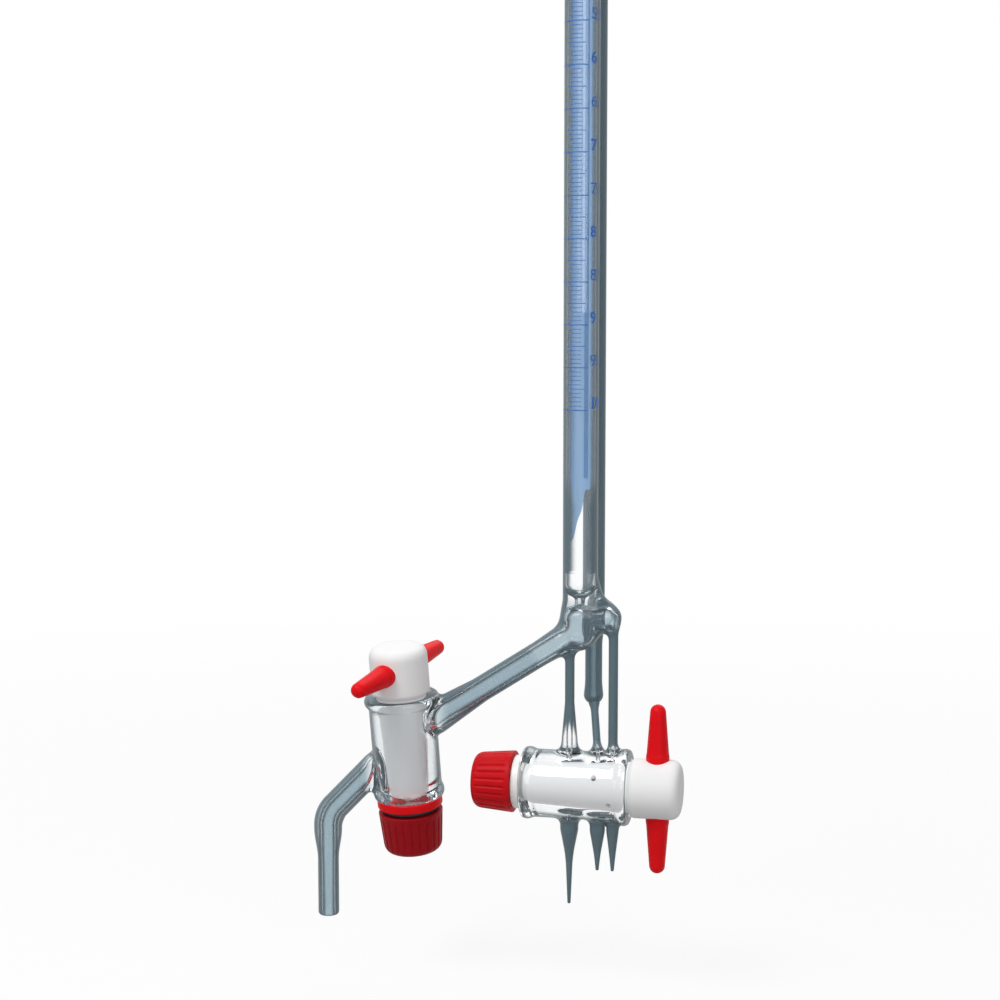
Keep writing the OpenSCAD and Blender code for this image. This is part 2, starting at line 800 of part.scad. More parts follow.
module drain_tube() {
  color("aliceblue")
    difference() {
      drain_run(drain_d, drain_foot_d);
      drain_run(drain_bore, drain_bore);
      return_outside();
      in_delivery() barrel_outside();
    }
}

module purge_tube() {
  color("aliceblue")
    difference() {
      purge_run(narrow_d, purge_foot_d);
      purge_run(narrow_bore, narrow_bore);
      header_outside();
      in_delivery() barrel_outside();
    }
}

module delivery_barrel() {
  color("aliceblue")
    difference() {
      in_delivery() barrel_outside();
      in_delivery() barrel_bore_cut();
      for (x = line_xs)
        translate([x, 0, key_z]) cylinder(d = delivery_port_d, h = 2 * barrel_d, center = true);
    }
}

module jet_at(x, root_d, l, shoulder_share, waist_share) {
  difference() {
    translate([x, 0, key_z - barrel_r]) jet(root_d, l, narrow_bore, shoulder_share, waist_share);
    in_delivery() barrel_outside();
  }
}

module titration_jet() {
  shoulder_share = 0.45;
  waist_share = 0.4;
  color("aliceblue")
    jet_at(titration_x, titration_root_d, titration_jet_l, shoulder_share, waist_share);
}

module drain_jet() {
  waist_share = 0.42;
  color("aliceblue")
    jet_at(drain_x, drain_root_d, short_jet_l, short_shoulder_share, waist_share);
}

module purge_jet() {
  waist_share = 0.5;
  color("aliceblue")
    jet_at(purge_x, purge_root_d, short_jet_l, short_shoulder_share, waist_share);
}

module fill_barrel() {
  color("aliceblue")
    in_fill()
      difference() {
        barrel_outside();
        barrel_bore_cut();
        oblique_bore();
      }
}

module inlet_nozzle() {
  color("aliceblue")
    difference() {
      inlet_rod(inlet_d / 2) {
        cylinder(r1 = inlet_d / 2, r2 = nozzle_r, h = nozzle_taper_h);
        translate([0, 0, nozzle_taper_h]) domed_rod(nozzle_r, nozzle_l, nozzle_round);
      }
      inlet_rod(inlet_bore / 2) {
        cylinder(d1 = inlet_bore, d2 = nozzle_bore, h = nozzle_taper_h);
        translate([0, 0, nozzle_taper_h]) cylinder(d = nozzle_bore, h = nozzle_l + over);
      }
      in_fill() barrel_outside();
    }
}

module delivery_plug() {
  color("white")
    in_delivery()
      difference() {
        key(delivery_nut_face - delivery_nut_l + stem_short);
        for (i = [0 : len(line_xs) - 1])
          translate([0, 0, line_xs[i] - delivery_rim_x])
            rotate([0, 90, i * port_turn]) cylinder(d = delivery_port_d, h = barrel_d, center = true);
      }
}

module delivery_handle() {
  color("crimson") in_delivery() handle();
}

module delivery_washer() {
  color("white") in_delivery() washer(delivery_washer_d);
}

module delivery_seal() {
  color("black") in_delivery() seal(delivery_seal_d);
}

module delivery_nut() {
  color("crimson")
    in_delivery() translate([0, 0, delivery_nut_face]) nut(delivery_nut_d, delivery_nut_l);
}

module fill_plug() {
  color("white")
    in_fill()
      rotate([0, 0, fill_turn])
        difference() {
          key(fill_nut_face - fill_nut_l + stem_short);
          oblique_bore();
        }
}

module fill_handle() {
  color("crimson") in_fill() rotate([0, 0, fill_turn]) handle();
}

module fill_washer() {
  color("crimson") in_fill() washer(fill_washer_d);
}

module fill_seal() {
  color("black") in_fill() seal(fill_seal_d);
}

module fill_nut() {
  color("crimson")
    in_fill() translate([0, 0, fill_nut_face]) nut(fill_nut_d, fill_nut_l);
}

graduated_tube();
opal_stripe();
blue_stripe();
zero_tip();
overflow_bulb();
vent_tube();
return_tube();
header_chamber();
side_arm();
titration_tube();
drain_tube();
purge_tube();
delivery_barrel();
titration_jet();
drain_jet();
purge_jet();
fill_barrel();
inlet_nozzle();
delivery_plug();
delivery_handle();
delivery_washer();
delivery_seal();
delivery_nut();
fill_plug();
fill_handle();
fill_washer();
fill_seal();
fill_nut();
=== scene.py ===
import math

import bmesh
import bpy
import numpy as np
from mathutils import Matrix, Vector


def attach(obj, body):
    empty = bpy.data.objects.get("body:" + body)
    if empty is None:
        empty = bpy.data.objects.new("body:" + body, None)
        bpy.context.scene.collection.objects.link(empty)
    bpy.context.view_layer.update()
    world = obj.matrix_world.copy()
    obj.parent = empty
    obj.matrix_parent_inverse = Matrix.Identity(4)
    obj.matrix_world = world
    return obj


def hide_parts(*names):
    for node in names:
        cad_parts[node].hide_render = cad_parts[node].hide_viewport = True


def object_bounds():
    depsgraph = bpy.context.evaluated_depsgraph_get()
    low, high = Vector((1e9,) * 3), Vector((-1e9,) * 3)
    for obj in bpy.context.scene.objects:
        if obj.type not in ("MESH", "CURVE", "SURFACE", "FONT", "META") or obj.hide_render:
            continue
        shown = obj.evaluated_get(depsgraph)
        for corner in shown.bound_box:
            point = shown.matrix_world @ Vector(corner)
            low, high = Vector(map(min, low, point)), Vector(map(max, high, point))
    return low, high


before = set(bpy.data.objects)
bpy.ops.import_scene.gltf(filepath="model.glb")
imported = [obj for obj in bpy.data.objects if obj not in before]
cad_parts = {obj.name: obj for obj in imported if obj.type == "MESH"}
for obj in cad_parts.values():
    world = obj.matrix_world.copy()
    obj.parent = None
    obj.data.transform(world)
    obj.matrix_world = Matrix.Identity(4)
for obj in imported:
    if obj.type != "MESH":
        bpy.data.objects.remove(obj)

cad_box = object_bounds()

# The measuring tube: drawn borosilicate glass with an opal strip and a blue line melted into the
# back of its wall. Its ends run into the header and the bulb, which are shaped in the flame, so
# their cut faces are left clear and light crosses them as in one melt.
mm = 0.001
tube_r, bore_r = 4.75, 3.75
tube_low, tube_high = -44, 210
shaded_rows, shaded_high = 24, -10
# The colour of the painted shade at the glass's edges and across its narrow lines.
painted_slate_shade = (0.095, 0.145, 0.170, 1)
up, down = (0, 0, 1), (0, 0, -1)


class Value:
    """One output of a shader node. Python's operators on it add Math nodes to its material."""

    def __init__(self, tree, socket):
        self.tree = tree
        self.socket = socket

    def maths(self, operation, *others):
        """A Math node on this value and the others, in that order."""
        return add_node(self.tree, "ShaderNodeMath", dict(enumerate((self, *others))), operation=operation)

    def __add__(self, other):
        return self.maths("ADD", other)

    def __mul__(self, other):
        return self.maths("MULTIPLY", other)

    def __pow__(self, other):
        return self.maths("POWER", other)

    __radd__ = __add__
    __rmul__ = __mul__


def add_node(tree, kind, inputs=None, output=0, **settings):
    """Adds one shader node: its settings first, then each input's value or link."""
    node = tree.nodes.new(kind)
    for key, setting in settings.items():
        setattr(node, key, setting)
    for key, value in (inputs or {}).items():
        if isinstance(value, Value):
            tree.links.new(value.socket, node.inputs[key])
        else:
            node.inputs[key].default_value = value
    return Value(tree, node.outputs[output] if node.outputs else None)


def new_material(name, shader):
    """A material whose surface is what shader(tree) returns."""
    material = bpy.data.materials.new(name)
    material.use_nodes = True
    tree = material.node_tree
    tree.nodes.clear()
    add_node(tree, "ShaderNodeOutputMaterial", {"Surface": shader(tree)})
    return material


def principled(tree, inputs):
    """Blender's general surface, with these inputs set."""
    return add_node(tree, "ShaderNodeBsdfPrincipled", inputs)


def mixed(tree, share, low, high):
    """A colour that goes from low to high as share goes from nought to one."""
    return add_node(tree, "ShaderNodeMix", {0: share, 6: low, 7: high}, 2, data_type="RGBA")


def either(tree, share, first, second):
    """A surface that goes from the first to the second as share goes from nought to one."""
    return add_node(tree, "ShaderNodeMixShader", {0: share, 1: first, 2: second})


def ranged(tree, value, start, end, low, high, **settings):
    """A value from start to end brought to low to high."""
    return add_node(tree, "ShaderNodeMapRange", {0: value, 1: start, 2: end, 3: low, 4: high}, **settings)


def kept_number(tree, name):
    """A number that the mesh keeps at its points."""
    return add_node(tree, "ShaderNodeAttribute", output="Fac", attribute_name=name)


def any_ray(tree, first, *others):
    """One for a ray of any of these kinds, and nought for the rest."""
    found = add_node(tree, "ShaderNodeLightPath", output=first)
    for kind in others:
        found = found.maths("MAXIMUM", add_node(tree, "ShaderNodeLightPath", output=kind))
    return found


def glass_shader(tree):
    """Clear glass with painted dark blue-grey shade towards its edges, in place of dark surroundings seen in
    it: the further the piece's shade reaches, the further in. A painted shade tint darkens some glass right
    through. It casts hardly any shadow."""
    facing = add_node(tree, "ShaderNodeLayerWeight", {"Blend": 0.5}, "Facing")
    # How far in the painted shade has come: the edge's facing, pushed inwards by the piece's shade reach.
    depth = facing + kept_number(tree, "shade_reach") * 0.68
    dark = ranged(tree, depth, 0.42, 0.80, 0.0, 0.94, interpolation_type="SMOOTHSTEP")
    # Painted shade in the tint as well, which darkens towards the edges.
    edge = mixed(tree, facing ** 1.7, (0.985, 0.992, 0.995, 1), (0.72, 0.80, 0.83, 1))
    tint = mixed(tree, kept_number(tree, "shade_tint"), edge, (0.40, 0.52, 0.58, 1))
    body = principled(tree, {"Base Color": tint, "Roughness": 0.0, "IOR": 1.47, "Transmission Weight": 1.0})
    shade = principled(tree, {"Base Color": painted_slate_shade, "Roughness": 0.3, "Specular IOR Level": 0.25})
    clear = add_node(tree, "ShaderNodeBsdfTransparent", {"Color": (0.965, 0.975, 0.98, 1)})
    unseen = any_ray(tree, "Is Shadow Ray", "Is Diffuse Ray")
    return either(tree, unseen, either(tree, dark, body, shade), clear)


def joint_shader(tree):
    """A face inside a melted joint, which light crosses as if it weren't there."""
    return add_node(tree, "ShaderNodeBsdfTransparent", {"Color": (1, 1, 1, 1)})


clear_glass = new_material("clear_glass", glass_shader)
melted_joint = new_material("melted_joint", joint_shader)


def new_piece(name, points, faces):
    """A mesh piece from points in millimetres and faces of one kind, with doubled points merged."""
    faces = np.asarray(faces)
    mesh = bpy.data.meshes.new(name)
    mesh.from_pydata(np.asarray(points).reshape(-1, 3) * mm, [], faces.reshape(-1, faces.shape[-1]).tolist())
    shape = bmesh.new()
    shape.from_mesh(mesh)
    bmesh.ops.remove_doubles(shape, verts=shape.verts, dist=1e-4 * mm)
    shape.to_mesh(mesh)
    shape.free()
    obj = bpy.data.objects.new(name, mesh)
    bpy.context.scene.collection.objects.link(obj)
    return obj


def grid_faces(rows, columns, loop_rows=False, loop_columns=True):
    """The quads of a grid of points, row by row, joined round where a direction is a loop."""
    row = np.arange(rows if loop_rows else rows - 1)[:, None]
    column = np.arange(columns if loop_columns else columns - 1)[None, :]
    below, beside = (row + 1) % rows, (column + 1) % columns
    return np.stack([
        row * columns + column, row * columns + beside, below * columns + beside, below * columns + column
    ], -1)


def turned(name, profile, middle=(0, 0, 0), axis=(0, 0, 1), side=(1, 0, 0), around=96, loop=False, wave=None):
    """A profile of (radius, height) rows turned about an axis through middle. A loop's last row
    joins its first, as on a tube that goes up its outside and down its bore. wave(angle, radius,
    height) gives a radius that also changes round the axis."""
    radius, height = np.asarray(profile, float).T[..., None]
    axis, side = np.asarray(axis, float), np.asarray(side, float)
    across = np.cross(axis, side)
    across /= np.linalg.norm(across)
    forth = np.cross(across, axis)
    angle = np.linspace(0, 2 * math.pi, around, endpoint=False)[None, :]
    if wave:
        radius = wave(angle, radius, height)
    points = np.asarray(middle) + height[..., None] * axis + radius[..., None] * (
        np.cos(angle)[..., None] * forth + np.sin(angle)[..., None] * across
    )
    return new_piece(name, points, grid_faces(len(height), around, loop))


def rounded(corners, cuts, steps=6):
    """A profile through the corners. Each cut eases a corner between the first and the last into a curve
    from that far before it to that far after it: the square of 1 - t times its start, 2 t (1 - t) times
    the corner, and the square of t times its end."""
    corners = np.asarray(corners, float)
    rows = [corners[:1]]
    t = np.linspace(0, 1, steps)[:, None]
    for before, corner, after, cut in zip(corners[:-2], corners[1:-1], corners[2:], cuts):
        if cut:
            start = corner + (before - corner) * cut / np.linalg.norm(before - corner)
            end = corner + (after - corner) * cut / np.linalg.norm(after - corner)
            rows.append((1 - t) ** 2 * start + 2 * t * (1 - t) * corner + t ** 2 * end)
        else:
            rows.append(corner[None])
    return np.concatenate([*rows, corners[-1:]])


def finished(obj, body, materials, edge_deg=35, replaced=()):
    """Smooths a piece up to its sharp edges, gives it its finish and lets it ride on its body."""
    for material in materials:
        obj.data.materials.append(material)
    obj.data.shade_smooth()
    obj.data.set_sharp_from_angle(angle=math.radians(edge_deg))
    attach(obj, body)
    if replaced:
        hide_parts(*replaced)


def read_each(rows, value):
    """A vector of each of a mesh's points or faces, as one array."""
    values = np.empty((len(rows), 3), "f")
    rows.foreach_get(value, values.ravel())
    return values


def finished_glass(obj, replaced, shade_reach, joints, shade_tint=0.0):
    """A glass piece: how far in from its edges its painted shade reaches and how much a painted shade tint
    darkens it right through, from numbers or by point, and clear faces at its joints, each given by a point
    in the joint and the way out of the piece there."""
    mesh = obj.data
    points = read_each(mesh.vertices, "co") / mm
    for name, share in (("shade_reach", shade_reach), ("shade_tint", shade_tint)):
        shares = share(points) if callable(share) else np.full(len(points), share)
        mesh.attributes.new(name, "FLOAT", "POINT").data.foreach_set("value", shares.astype("f"))
    middles = read_each(mesh.polygons, "center") / mm
    normals = read_each(mesh.polygons, "normal")
    clear = np.zeros(len(middles), bool)
    for place, way in joints:
        away = (middles - np.asarray(place)) @ np.asarray(way)
        clear |= (np.abs(away) < 0.02) & (normals @ np.asarray(way) > 0.99)
    finished(obj, "glass", [clear_glass, melted_joint], replaced=replaced)
    mesh.polygons.foreach_set("material_index", clear.astype("i"))


def tube_shade_reach(p):
    """Painted shade reaching further in from the walls where no opal glass stands behind the bore."""
    return 0.42 + 0.18 * np.clip((-18 - p[:, 2]) / 8, 0, 1)


wall_rows = np.stack([np.full(shaded_rows, tube_r), np.linspace(tube_low, shaded_high, shaded_rows)], -1)
tube_profile = [
    *wall_rows, (tube_r, tube_high), (bore_r, tube_high), *(wall_rows[::-1] - (tube_r - bore_r, 0))
]
finished_glass(
    turned("measuring_tube", tube_profile, around=128, loop=True), ["graduated_tube"], tube_shade_reach,
    [((0, 0, tube_low), down), ((0, 0, tube_high), up)]
)

# The opal strip and the blue line: bands of coloured glass drawn into the back of the wall, which
# make the level easy to read. The strip's lower end is melted off unevenly.
strip_middle = math.radians(79)
strip_half = math.radians(75)
strip_r, strip_depth = 4.42, 0.2
strip_high = 223
line_half = math.radians(8.6)
line_inner, line_outer = strip_r - 0.25, strip_r - 0.05
line_low = -18.6


def noise(tree, scale, detail, stretch=None):
    """Cloudy noise by place on the piece, drawn out where it has a stretch for each direction."""
    place = add_node(tree, "ShaderNodeTexCoord", output="Object")
    if stretch:
        place = add_node(tree, "ShaderNodeMapping", {0: place, "Scale": stretch})
    return add_node(tree, "ShaderNodeTexNoise", {"Vector": place, "Scale": scale, "Detail": detail})


def opal_shader(tree):
    """Opal glass, clouded lengthwise where it was drawn."""
    cloud = noise(tree, 1.0, 3.0, (900, 900, 25))
    colour = mixed(tree, cloud, (0.15, 0.31, 0.56, 1), (0.29, 0.50, 0.74, 1))
    return principled(tree, {"Base Color": colour, "Roughness": 0.35})


def line_shader(tree):
    """Solid blue glass, clouded lengthwise as the strip is."""
    cloud = noise(tree, 1.0, 2.0, (1500, 1500, 40))
    colour = mixed(tree, cloud, (0.010, 0.12, 0.34, 1), (0.03, 0.21, 0.48, 1))
    return principled(tree, {"Base Color": colour, "Roughness": 0.3})


def band(name, middle, half, inner, outer, low_edge, high, columns, rows=60):
    """A thin band of the wall between two radii: a grid over its angle and its height, whose lower
    edge low_edge(share across) may run unevenly, closed at the rim by the inner and outer skins."""
    share = np.linspace(-1, 1, columns)[None, :]
    height = np.linspace(0, 1, rows)[:, None]
    low = low_edge(share)
    z = low + (high - low) * height
    angle = middle + half * share + 0 * height
    skins = [np.stack([r * np.cos(angle), r * np.sin(angle), z], -1) for r in (outer, inner)]
    faces = grid_faces(rows, columns, loop_columns=False).reshape(-1, 4)
    rim = np.concatenate([
        np.arange(columns), columns * np.arange(1, rows) + columns - 1,
        rows * columns - 2 - np.arange(columns - 1), columns * np.arange(rows - 2, 0, -1)
    ])
    after = np.roll(rim, -1)
    edge = np.stack([rim, rim + rows * columns, after + rows * columns, after], -1)
    return new_piece(name, np.stack(skins), np.concatenate([faces, faces[:, ::-1] + rows * columns, edge]))


def melted_edge(share):
    """The strip's lower end, which hangs down in two soft steps from its right side to its left."""
    steps = 4 * (1 + np.tanh(8 * share - 1.3)) + 3.2 * (1 + np.tanh(7 * share - 4))
    return -21.5 - steps + 0.3 * np.sin(7 * share) + 0.12 * np.sin(19 * share + 1)


def even_edge(share):
    """The blue line's lower end, square across."""
    return line_low + 0 * share


opal_strip = band(
    "opal_strip", strip_middle, strip_half, strip_r, strip_r + strip_depth, melted_edge, strip_high, 96
)
blue_line = band("blue_line", strip_middle, line_half, line_inner, line_outer, even_edge, strip_high, 12)
opal_glass = new_material("opal_glass_strip", opal_shader)
blue_glass = new_material("blue_glass_line", line_shader)
finished(opal_strip, "glass", [opal_glass], replaced=["opal_stripe"])
finished(blue_line, "glass", [blue_glass], replaced=["blue_stripe"])

# The scale: blue enamel printed on the front of the tube and fired on, with a line each 0.05 ml,
# longer ones each 0.25 and 0.5 ml, and plain numbers beside the longest.
print_r, print_depth = tube_r + 0.012, 0.03
ml_height = 1000 / (math.pi * bore_r ** 2)
scale_ml, lines_per_ml = 10, 20
scale_middle = math.radians(-101)
long_from, long_to, long_thick = math.radians(-176), math.radians(-57), 0.26
medium_half, medium_thick = math.radians(33), 0.2
short_half, short_thick = math.radians(22), 0.16
number_angle = math.radians(-51)
number_height, number_rise, number_weight = 3.0, 0.5, 0.09
digit_share = 0.7
longest_edge = 0.9


def ink_shader(tree):
    """Fired enamel: blue, faintly mottled, half gloss."""
    colour = mixed(tree, noise(tree, 4000.0, 2.0), (0.01, 0.085, 0.36, 1), (0.03, 0.16, 0.52, 1))
    return principled(tree, {"Base Color": colour, "Roughness": 0.4})


def curved_line(z, start, end, thick):
    """The points and quads of one printed line: a flat bar bent round the tube, closed all round."""
    steps = max(4, int((end - start) / math.radians(6)))
    angle = np.linspace(start, end, steps)[:, None]
    radius = print_r + print_depth * np.array([0, 1, 1, 0])[None, :]
    height = z + thick * np.array([-0.5, -0.5, 0.5, 0.5])[None, :]
    points = np.stack([radius * np.cos(angle), radius * np.sin(angle), height + 0 * angle], -1).reshape(-1, 3)
    faces = grid_faces(steps, 4).reshape(-1, 4)[:, ::-1]
    last = 4 * (steps - 1)
    ends = np.array([[3, 2, 1, 0], [last, last + 1, last + 2, last + 3]])
    return points, np.concatenate([faces, ends[:, ::-1]])


def joined(parts):
    """Several parts' points and faces as one."""
    firsts = np.cumsum([0] + [len(points) for points, _ in parts[:-1]])
    faces = [faces + first for first, (_, faces) in zip(firsts, parts)]
    return np.concatenate([points for points, _ in parts]), np.concatenate(faces)


lines = []
for count in range(scale_ml * lines_per_ml + 1):
    if count % 10 == 0:
        start, end, thick = long_from, long_to, long_thick
    else:
        half, thick = (medium_half, medium_thick) if count % 5 == 0 else (short_half, short_thick)
        start, end = scale_middle - half, scale_middle + half
    lines.append(curved_line(count * ml_height / lines_per_ml, start, end, thick))
enamel = new_material("blue_enamel", ink_shader)
finished(new_piece("scale_lines", *joined(lines)), "glass", [enamel])


def bent_number(text, z, weight):
    """A number's points and triangles, bent round the tube: its x becomes an angle, its y a height and
    its depth a radius."""
    curve = bpy.data.curves.new("number", "FONT")
    curve.body, curve.size, curve.resolution_u = text, number_height / digit_share, 3
    curve.offset, curve.extrude = weight, print_depth / 2
    flat = bpy.data.objects.new("number", curve)
    bpy.context.scene.collection.objects.link(flat)
    mesh = bpy.data.meshes.new_from_object(flat.evaluated_get(bpy.context.evaluated_depsgraph_get()))
    bpy.data.objects.remove(flat)
    shape = bmesh.new()
    shape.from_mesh(mesh)
    bmesh.ops.remove_doubles(shape, verts=shape.verts, dist=1e-4)
    bmesh.ops.triangulate(shape, faces=shape.faces)
    bmesh.ops.subdivide_edges(shape, edges=[e for e in shape.edges if e.calc_length() > longest_edge], cuts=1)
    bmesh.ops.triangulate(shape, faces=shape.faces)
    shape.to_mesh(mesh)
    shape.free()
    x, y, depth = read_each(mesh.vertices, "co").astype(float).T
    angle = number_angle + x / tube_r
    radius = print_r + print_depth / 2 + depth
    points = np.stack([radius * np.cos(angle), radius * np.sin(angle), z + y + number_rise], -1)
    faces = np.empty((len(mesh.polygons), 3), "i")
    mesh.loops.foreach_get("vertex_index", faces.ravel())
    bpy.data.meshes.remove(mesh)
    return points, faces


numbers = []
for half in range(scale_ml * 2 + 1):
    value = scale_ml - half / 2
    whole = half % 2 == 0
    text = "%d" % value if whole else "%.1f" % value
    numbers.append(bent_number(text, half * ml_height / 2, number_weight if whole else 0.0))
finished(new_piece("scale_numbers", *joined(numbers)), "glass", [enamel])

# The automatic zero: the tube narrows to a ground tip inside a blown bulb. Liquid that wells over
# the tip runs down the return tube, whose root is sealed into the bulb's side, and the bulb
# breathes through the open vent tube on its top.
taper_low, taper_h, capillary_h = 223.528, 6, 4
taper_high = taper_low + taper_h
zero_z = taper_high + capillary_h
capillary_r, tip_r = 0.9, 1.7
bulb_z, bulb_r, bulb_wall = zero_z - 2, 14, 1.1
neck_r, neck_low, neck_high = 5.75, 214.53, 228
vent_r, vent_bore_r, vent_high = 4.2, 3.2, 261.528
return_x, return_y, return_r, return_bore_r = 2.459, 7.350, 2.95, 2.05
root_high, root_melt_high = 222, 213
top_cut, vent_cut, tip_cut = 210, 249, 221.5
past_cut = 9


def segment_away(p, a, b, ra, rb=None):
    """How far points are from a rod with round ends: the distance to the segment from a to b, less
    a radius that goes from ra to rb along it, or is ra all along."""
    a, b = np.asarray(a, float), np.asarray(b, float)
    run = b - a
    share = np.clip((p - a) @ run / (run @ run), 0, 1)
    radius = ra if rb is None else ra + (rb - ra) * share
    return np.linalg.norm(p - a - share[..., None] * run, axis=-1) - radius


def upright_away(p, x, y, low, high, r, r_high=None):
    """How far points are from an upright rod with round ends, from low to high."""
    return segment_away(p, (x, y, low), (x, y, high), r, r_high)


def melt(a, b, r):
    """Two distances joined as glass flows together: the smaller of the two, lowered where they are
    within r of each other by r h (1 - h)."""
    h = np.clip(0.5 + 0.5 * (b - a) / r, 0, 1)
    return b + (a - b) * h - r * h * (1 - h)


def blown(name, away, low, high, step):
    """The surface where away(points) is nought. Each cell of a grid that it crosses gets a point at
    the mean of the crossings on its edges, which Newton steps then put onto the surface, and each
    grid edge that it crosses gets the quad of its four cells."""
    low = np.asarray(low, float)
    counts = np.ceil((np.asarray(high) - low) / step).astype(int) + 1
    lines = [low[i] + step * np.arange(counts[i]) for i in range(3)]
    field = away(np.stack(np.meshgrid(*lines, indexing="ij"), -1))
    cells = counts - 1
    total = np.zeros((cells.prod(), 3))
    number = np.zeros(cells.prod())
    quads = []
    for i in range(3):
        j, k = (i + 1) % 3, (i + 2) % 3
        first = field.take(range(cells[i]), i)
        second = field.take(range(1, counts[i]), i)
        place = np.argwhere((first < 0) != (second < 0))
        a, b = first[tuple(place.T)], second[tuple(place.T)]
        point = low + step * place
        point[:, i] += step * a / (a - b)
        corners = []
        for back_j, back_k in ((0, 0), (1, 0), (1, 1), (0, 1)):
            cell = place.copy()
            cell[:, j] -= back_j
            cell[:, k] -= back_k
            corners.append(cell)
        inside = np.all([(c >= 0).all(1) & (c < cells).all(1) for c in corners], axis=0)
        ids = np.stack([np.ravel_multi_index(c[inside].T, cells) for c in corners], -1)
        for column in ids.T:
            number += np.bincount(column, minlength=len(number))
            for axis in range(3):
                total[:, axis] += np.bincount(column, point[inside][:, axis], len(number))
        ids[b[inside] < 0] = ids[b[inside] < 0][:, ::-1]
        quads.append(ids)
    used, faces = np.unique(np.concatenate(quads), return_inverse=True)
    points = total[used] / number[used][:, None]
    small = 0.01
    for _ in range(4):
        here = away(points)
        slope = np.stack([
            (away(points + small * way) - away(points - small * way)) / (2 * small) for way in np.eye(3)
        ], -1)
        move = here[:, None] * slope / np.maximum((slope ** 2).sum(-1), 0.25)[:, None]
        points = points - np.clip(move, -step / 3, step / 3)
    return new_piece(name, points, faces.reshape(-1, 4))


def cut_off(obj, place, way, reach):
    """Cuts a rod of the piece square across at place, drops what lies further along way within reach
    of the rod's middle, and closes the cut with a flat face."""
    before, beyond = 1.5, 18
    place, way = np.asarray(place, float), np.asarray(way, float) / np.linalg.norm(way)
    away = read_each(obj.data.polygons, "center") / mm - place
    along = away @ way
    beside = np.linalg.norm(away - along[:, None] * way, axis=1)
    shape = bmesh.new()
    shape.from_mesh(obj.data)
    shape.faces.ensure_lookup_table()
    chosen = np.flatnonzero((along > -before) & (along < beyond) & (beside < reach))
    near = [shape.faces[i] for i in chosen]
    near_edges = dict.fromkeys(edge for face in near for edge in face.edges)
    near_points = dict.fromkeys(vert for face in near for vert in face.verts)
    cut = bmesh.ops.bisect_plane(
        shape, geom=[*near, *near_edges, *near_points], dist=1e-4 * mm, plane_co=Vector(place * mm),
        plane_no=Vector(way), clear_outer=True
    )
    rim = [edge for edge in cut["geom_cut"] if isinstance(edge, bmesh.types.BMEdge) and edge.is_boundary]
    made = bmesh.ops.triangle_fill(shape, use_beauty=True, edges=rim, normal=Vector(way))["geom"]
    flaps = [face for face in made if isinstance(face, bmesh.types.BMFace)]
    for face in flaps:
        face.normal_update()
        if face.normal.dot(Vector(way)) < 0:
            face.normal_flip()
    shape.to_mesh(obj.data)
    shape.free()
    obj.data.update()


def cut_glass(obj, replaced, shade_reach, cuts, shade_tint=0.0):
    """A blown piece cut off at each of its joints, given by its point, the way out and a reach, and
    finished with those joints clear."""
    for cut in cuts:
        cut_off(obj, *cut)
    finished_glass(obj, replaced, shade_reach, [cut[:2] for cut in cuts], shade_tint)


def bulb_away(p):
    """The bulb: a blown ball with its neck, vent and return roots melted on, hollow but for the tube
    that stands in it."""
    ball = bulb_z, bulb_z + 0.01
    neck = upright_away(p, 0, 0, neck_low + 3.5, neck_high, neck_r - 0.3)
    outside = melt(upright_away(p, 0, 0, *ball, bulb_r), neck, 4)
    outside = melt(outside, upright_away(p, 0, 0, bulb_z, vent_cut + past_cut, vent_r), 3)
    tube = upright_away(p, 0, 0, top_cut - past_cut, tip_cut + past_cut, tube_r)
    outside = melt(outside, tube, 1.2)
    outside = melt(outside, upright_away(p, return_x, return_y, top_cut - past_cut, root_high, return_r), 2.5)
    hollow = np.maximum(upright_away(p, 0, 0, *ball, bulb_r - bulb_wall), 0.025 - tube)
    hollow = melt(hollow, upright_away(p, 0, 0, bulb_z + 8, vent_cut + past_cut, vent_bore_r), 1.6)
    root_bore = upright_away(p, return_x, return_y, top_cut - past_cut, root_high + 1, return_bore_r)
    hollow = melt(hollow, root_bore, 1.2)
    hollow = np.minimum(hollow, upright_away(p, 0, 0, top_cut - past_cut, tip_cut + past_cut, bore_r))
    return np.maximum(outside, -hollow)


def near_return(p):
    """One at the return tube's root, and nought from where it opens into the bulb."""
    return np.clip(1 - upright_away(p, return_x, return_y, top_cut, root_melt_high, return_r) / 2.5, 0, 1)


bulb = blown("blown_bulb", bulb_away, (-15.5, -15.5, top_cut - 2), (15.5, 15.5, vent_cut + 2), 0.4)
bulb_cuts = [
    ((return_x / 2, return_y / 2, top_cut), down, 9), ((0, 0, vent_cut), up, 6), ((0, 0, tip_cut), up, 5.2)
]
# Painted shade and a painted shade tint gather at the return tube's root.
cut_glass(
    bulb, ["overflow_bulb"], lambda p: 0.12 + 0.66 * near_return(p), bulb_cuts, lambda p: 0.8 * near_return(p)
)
tip_profile = rounded([
    (tube_r, tip_cut), (tube_r, taper_low), (tip_r, taper_high), (tip_r, zero_z), (capillary_r, zero_z),
    (capillary_r, taper_high), (bore_r, taper_low), (bore_r, tip_cut)
], [0, 2.2, 2, 0.3, 0.3, 2])
finished_glass(turned("drawn_tip", tip_profile, loop=True), ["zero_tip"], 0.15, [((0, 0, tip_cut), down)])
vent_profile = rounded([
    (vent_r, vent_cut), (vent_r, vent_high - 2.6), (vent_r + 0.6, vent_high - 1.2), (vent_r + 0.5, vent_high),
    (vent_bore_r, vent_high), (vent_bore_r, vent_cut)
], [0, 1.2, 0.9, 0.7])
finished_glass(
    turned("breathing_tube", vent_profile, loop=True), ["vent_tube"], 0.12, [((0, 0, vent_cut), down)]
)

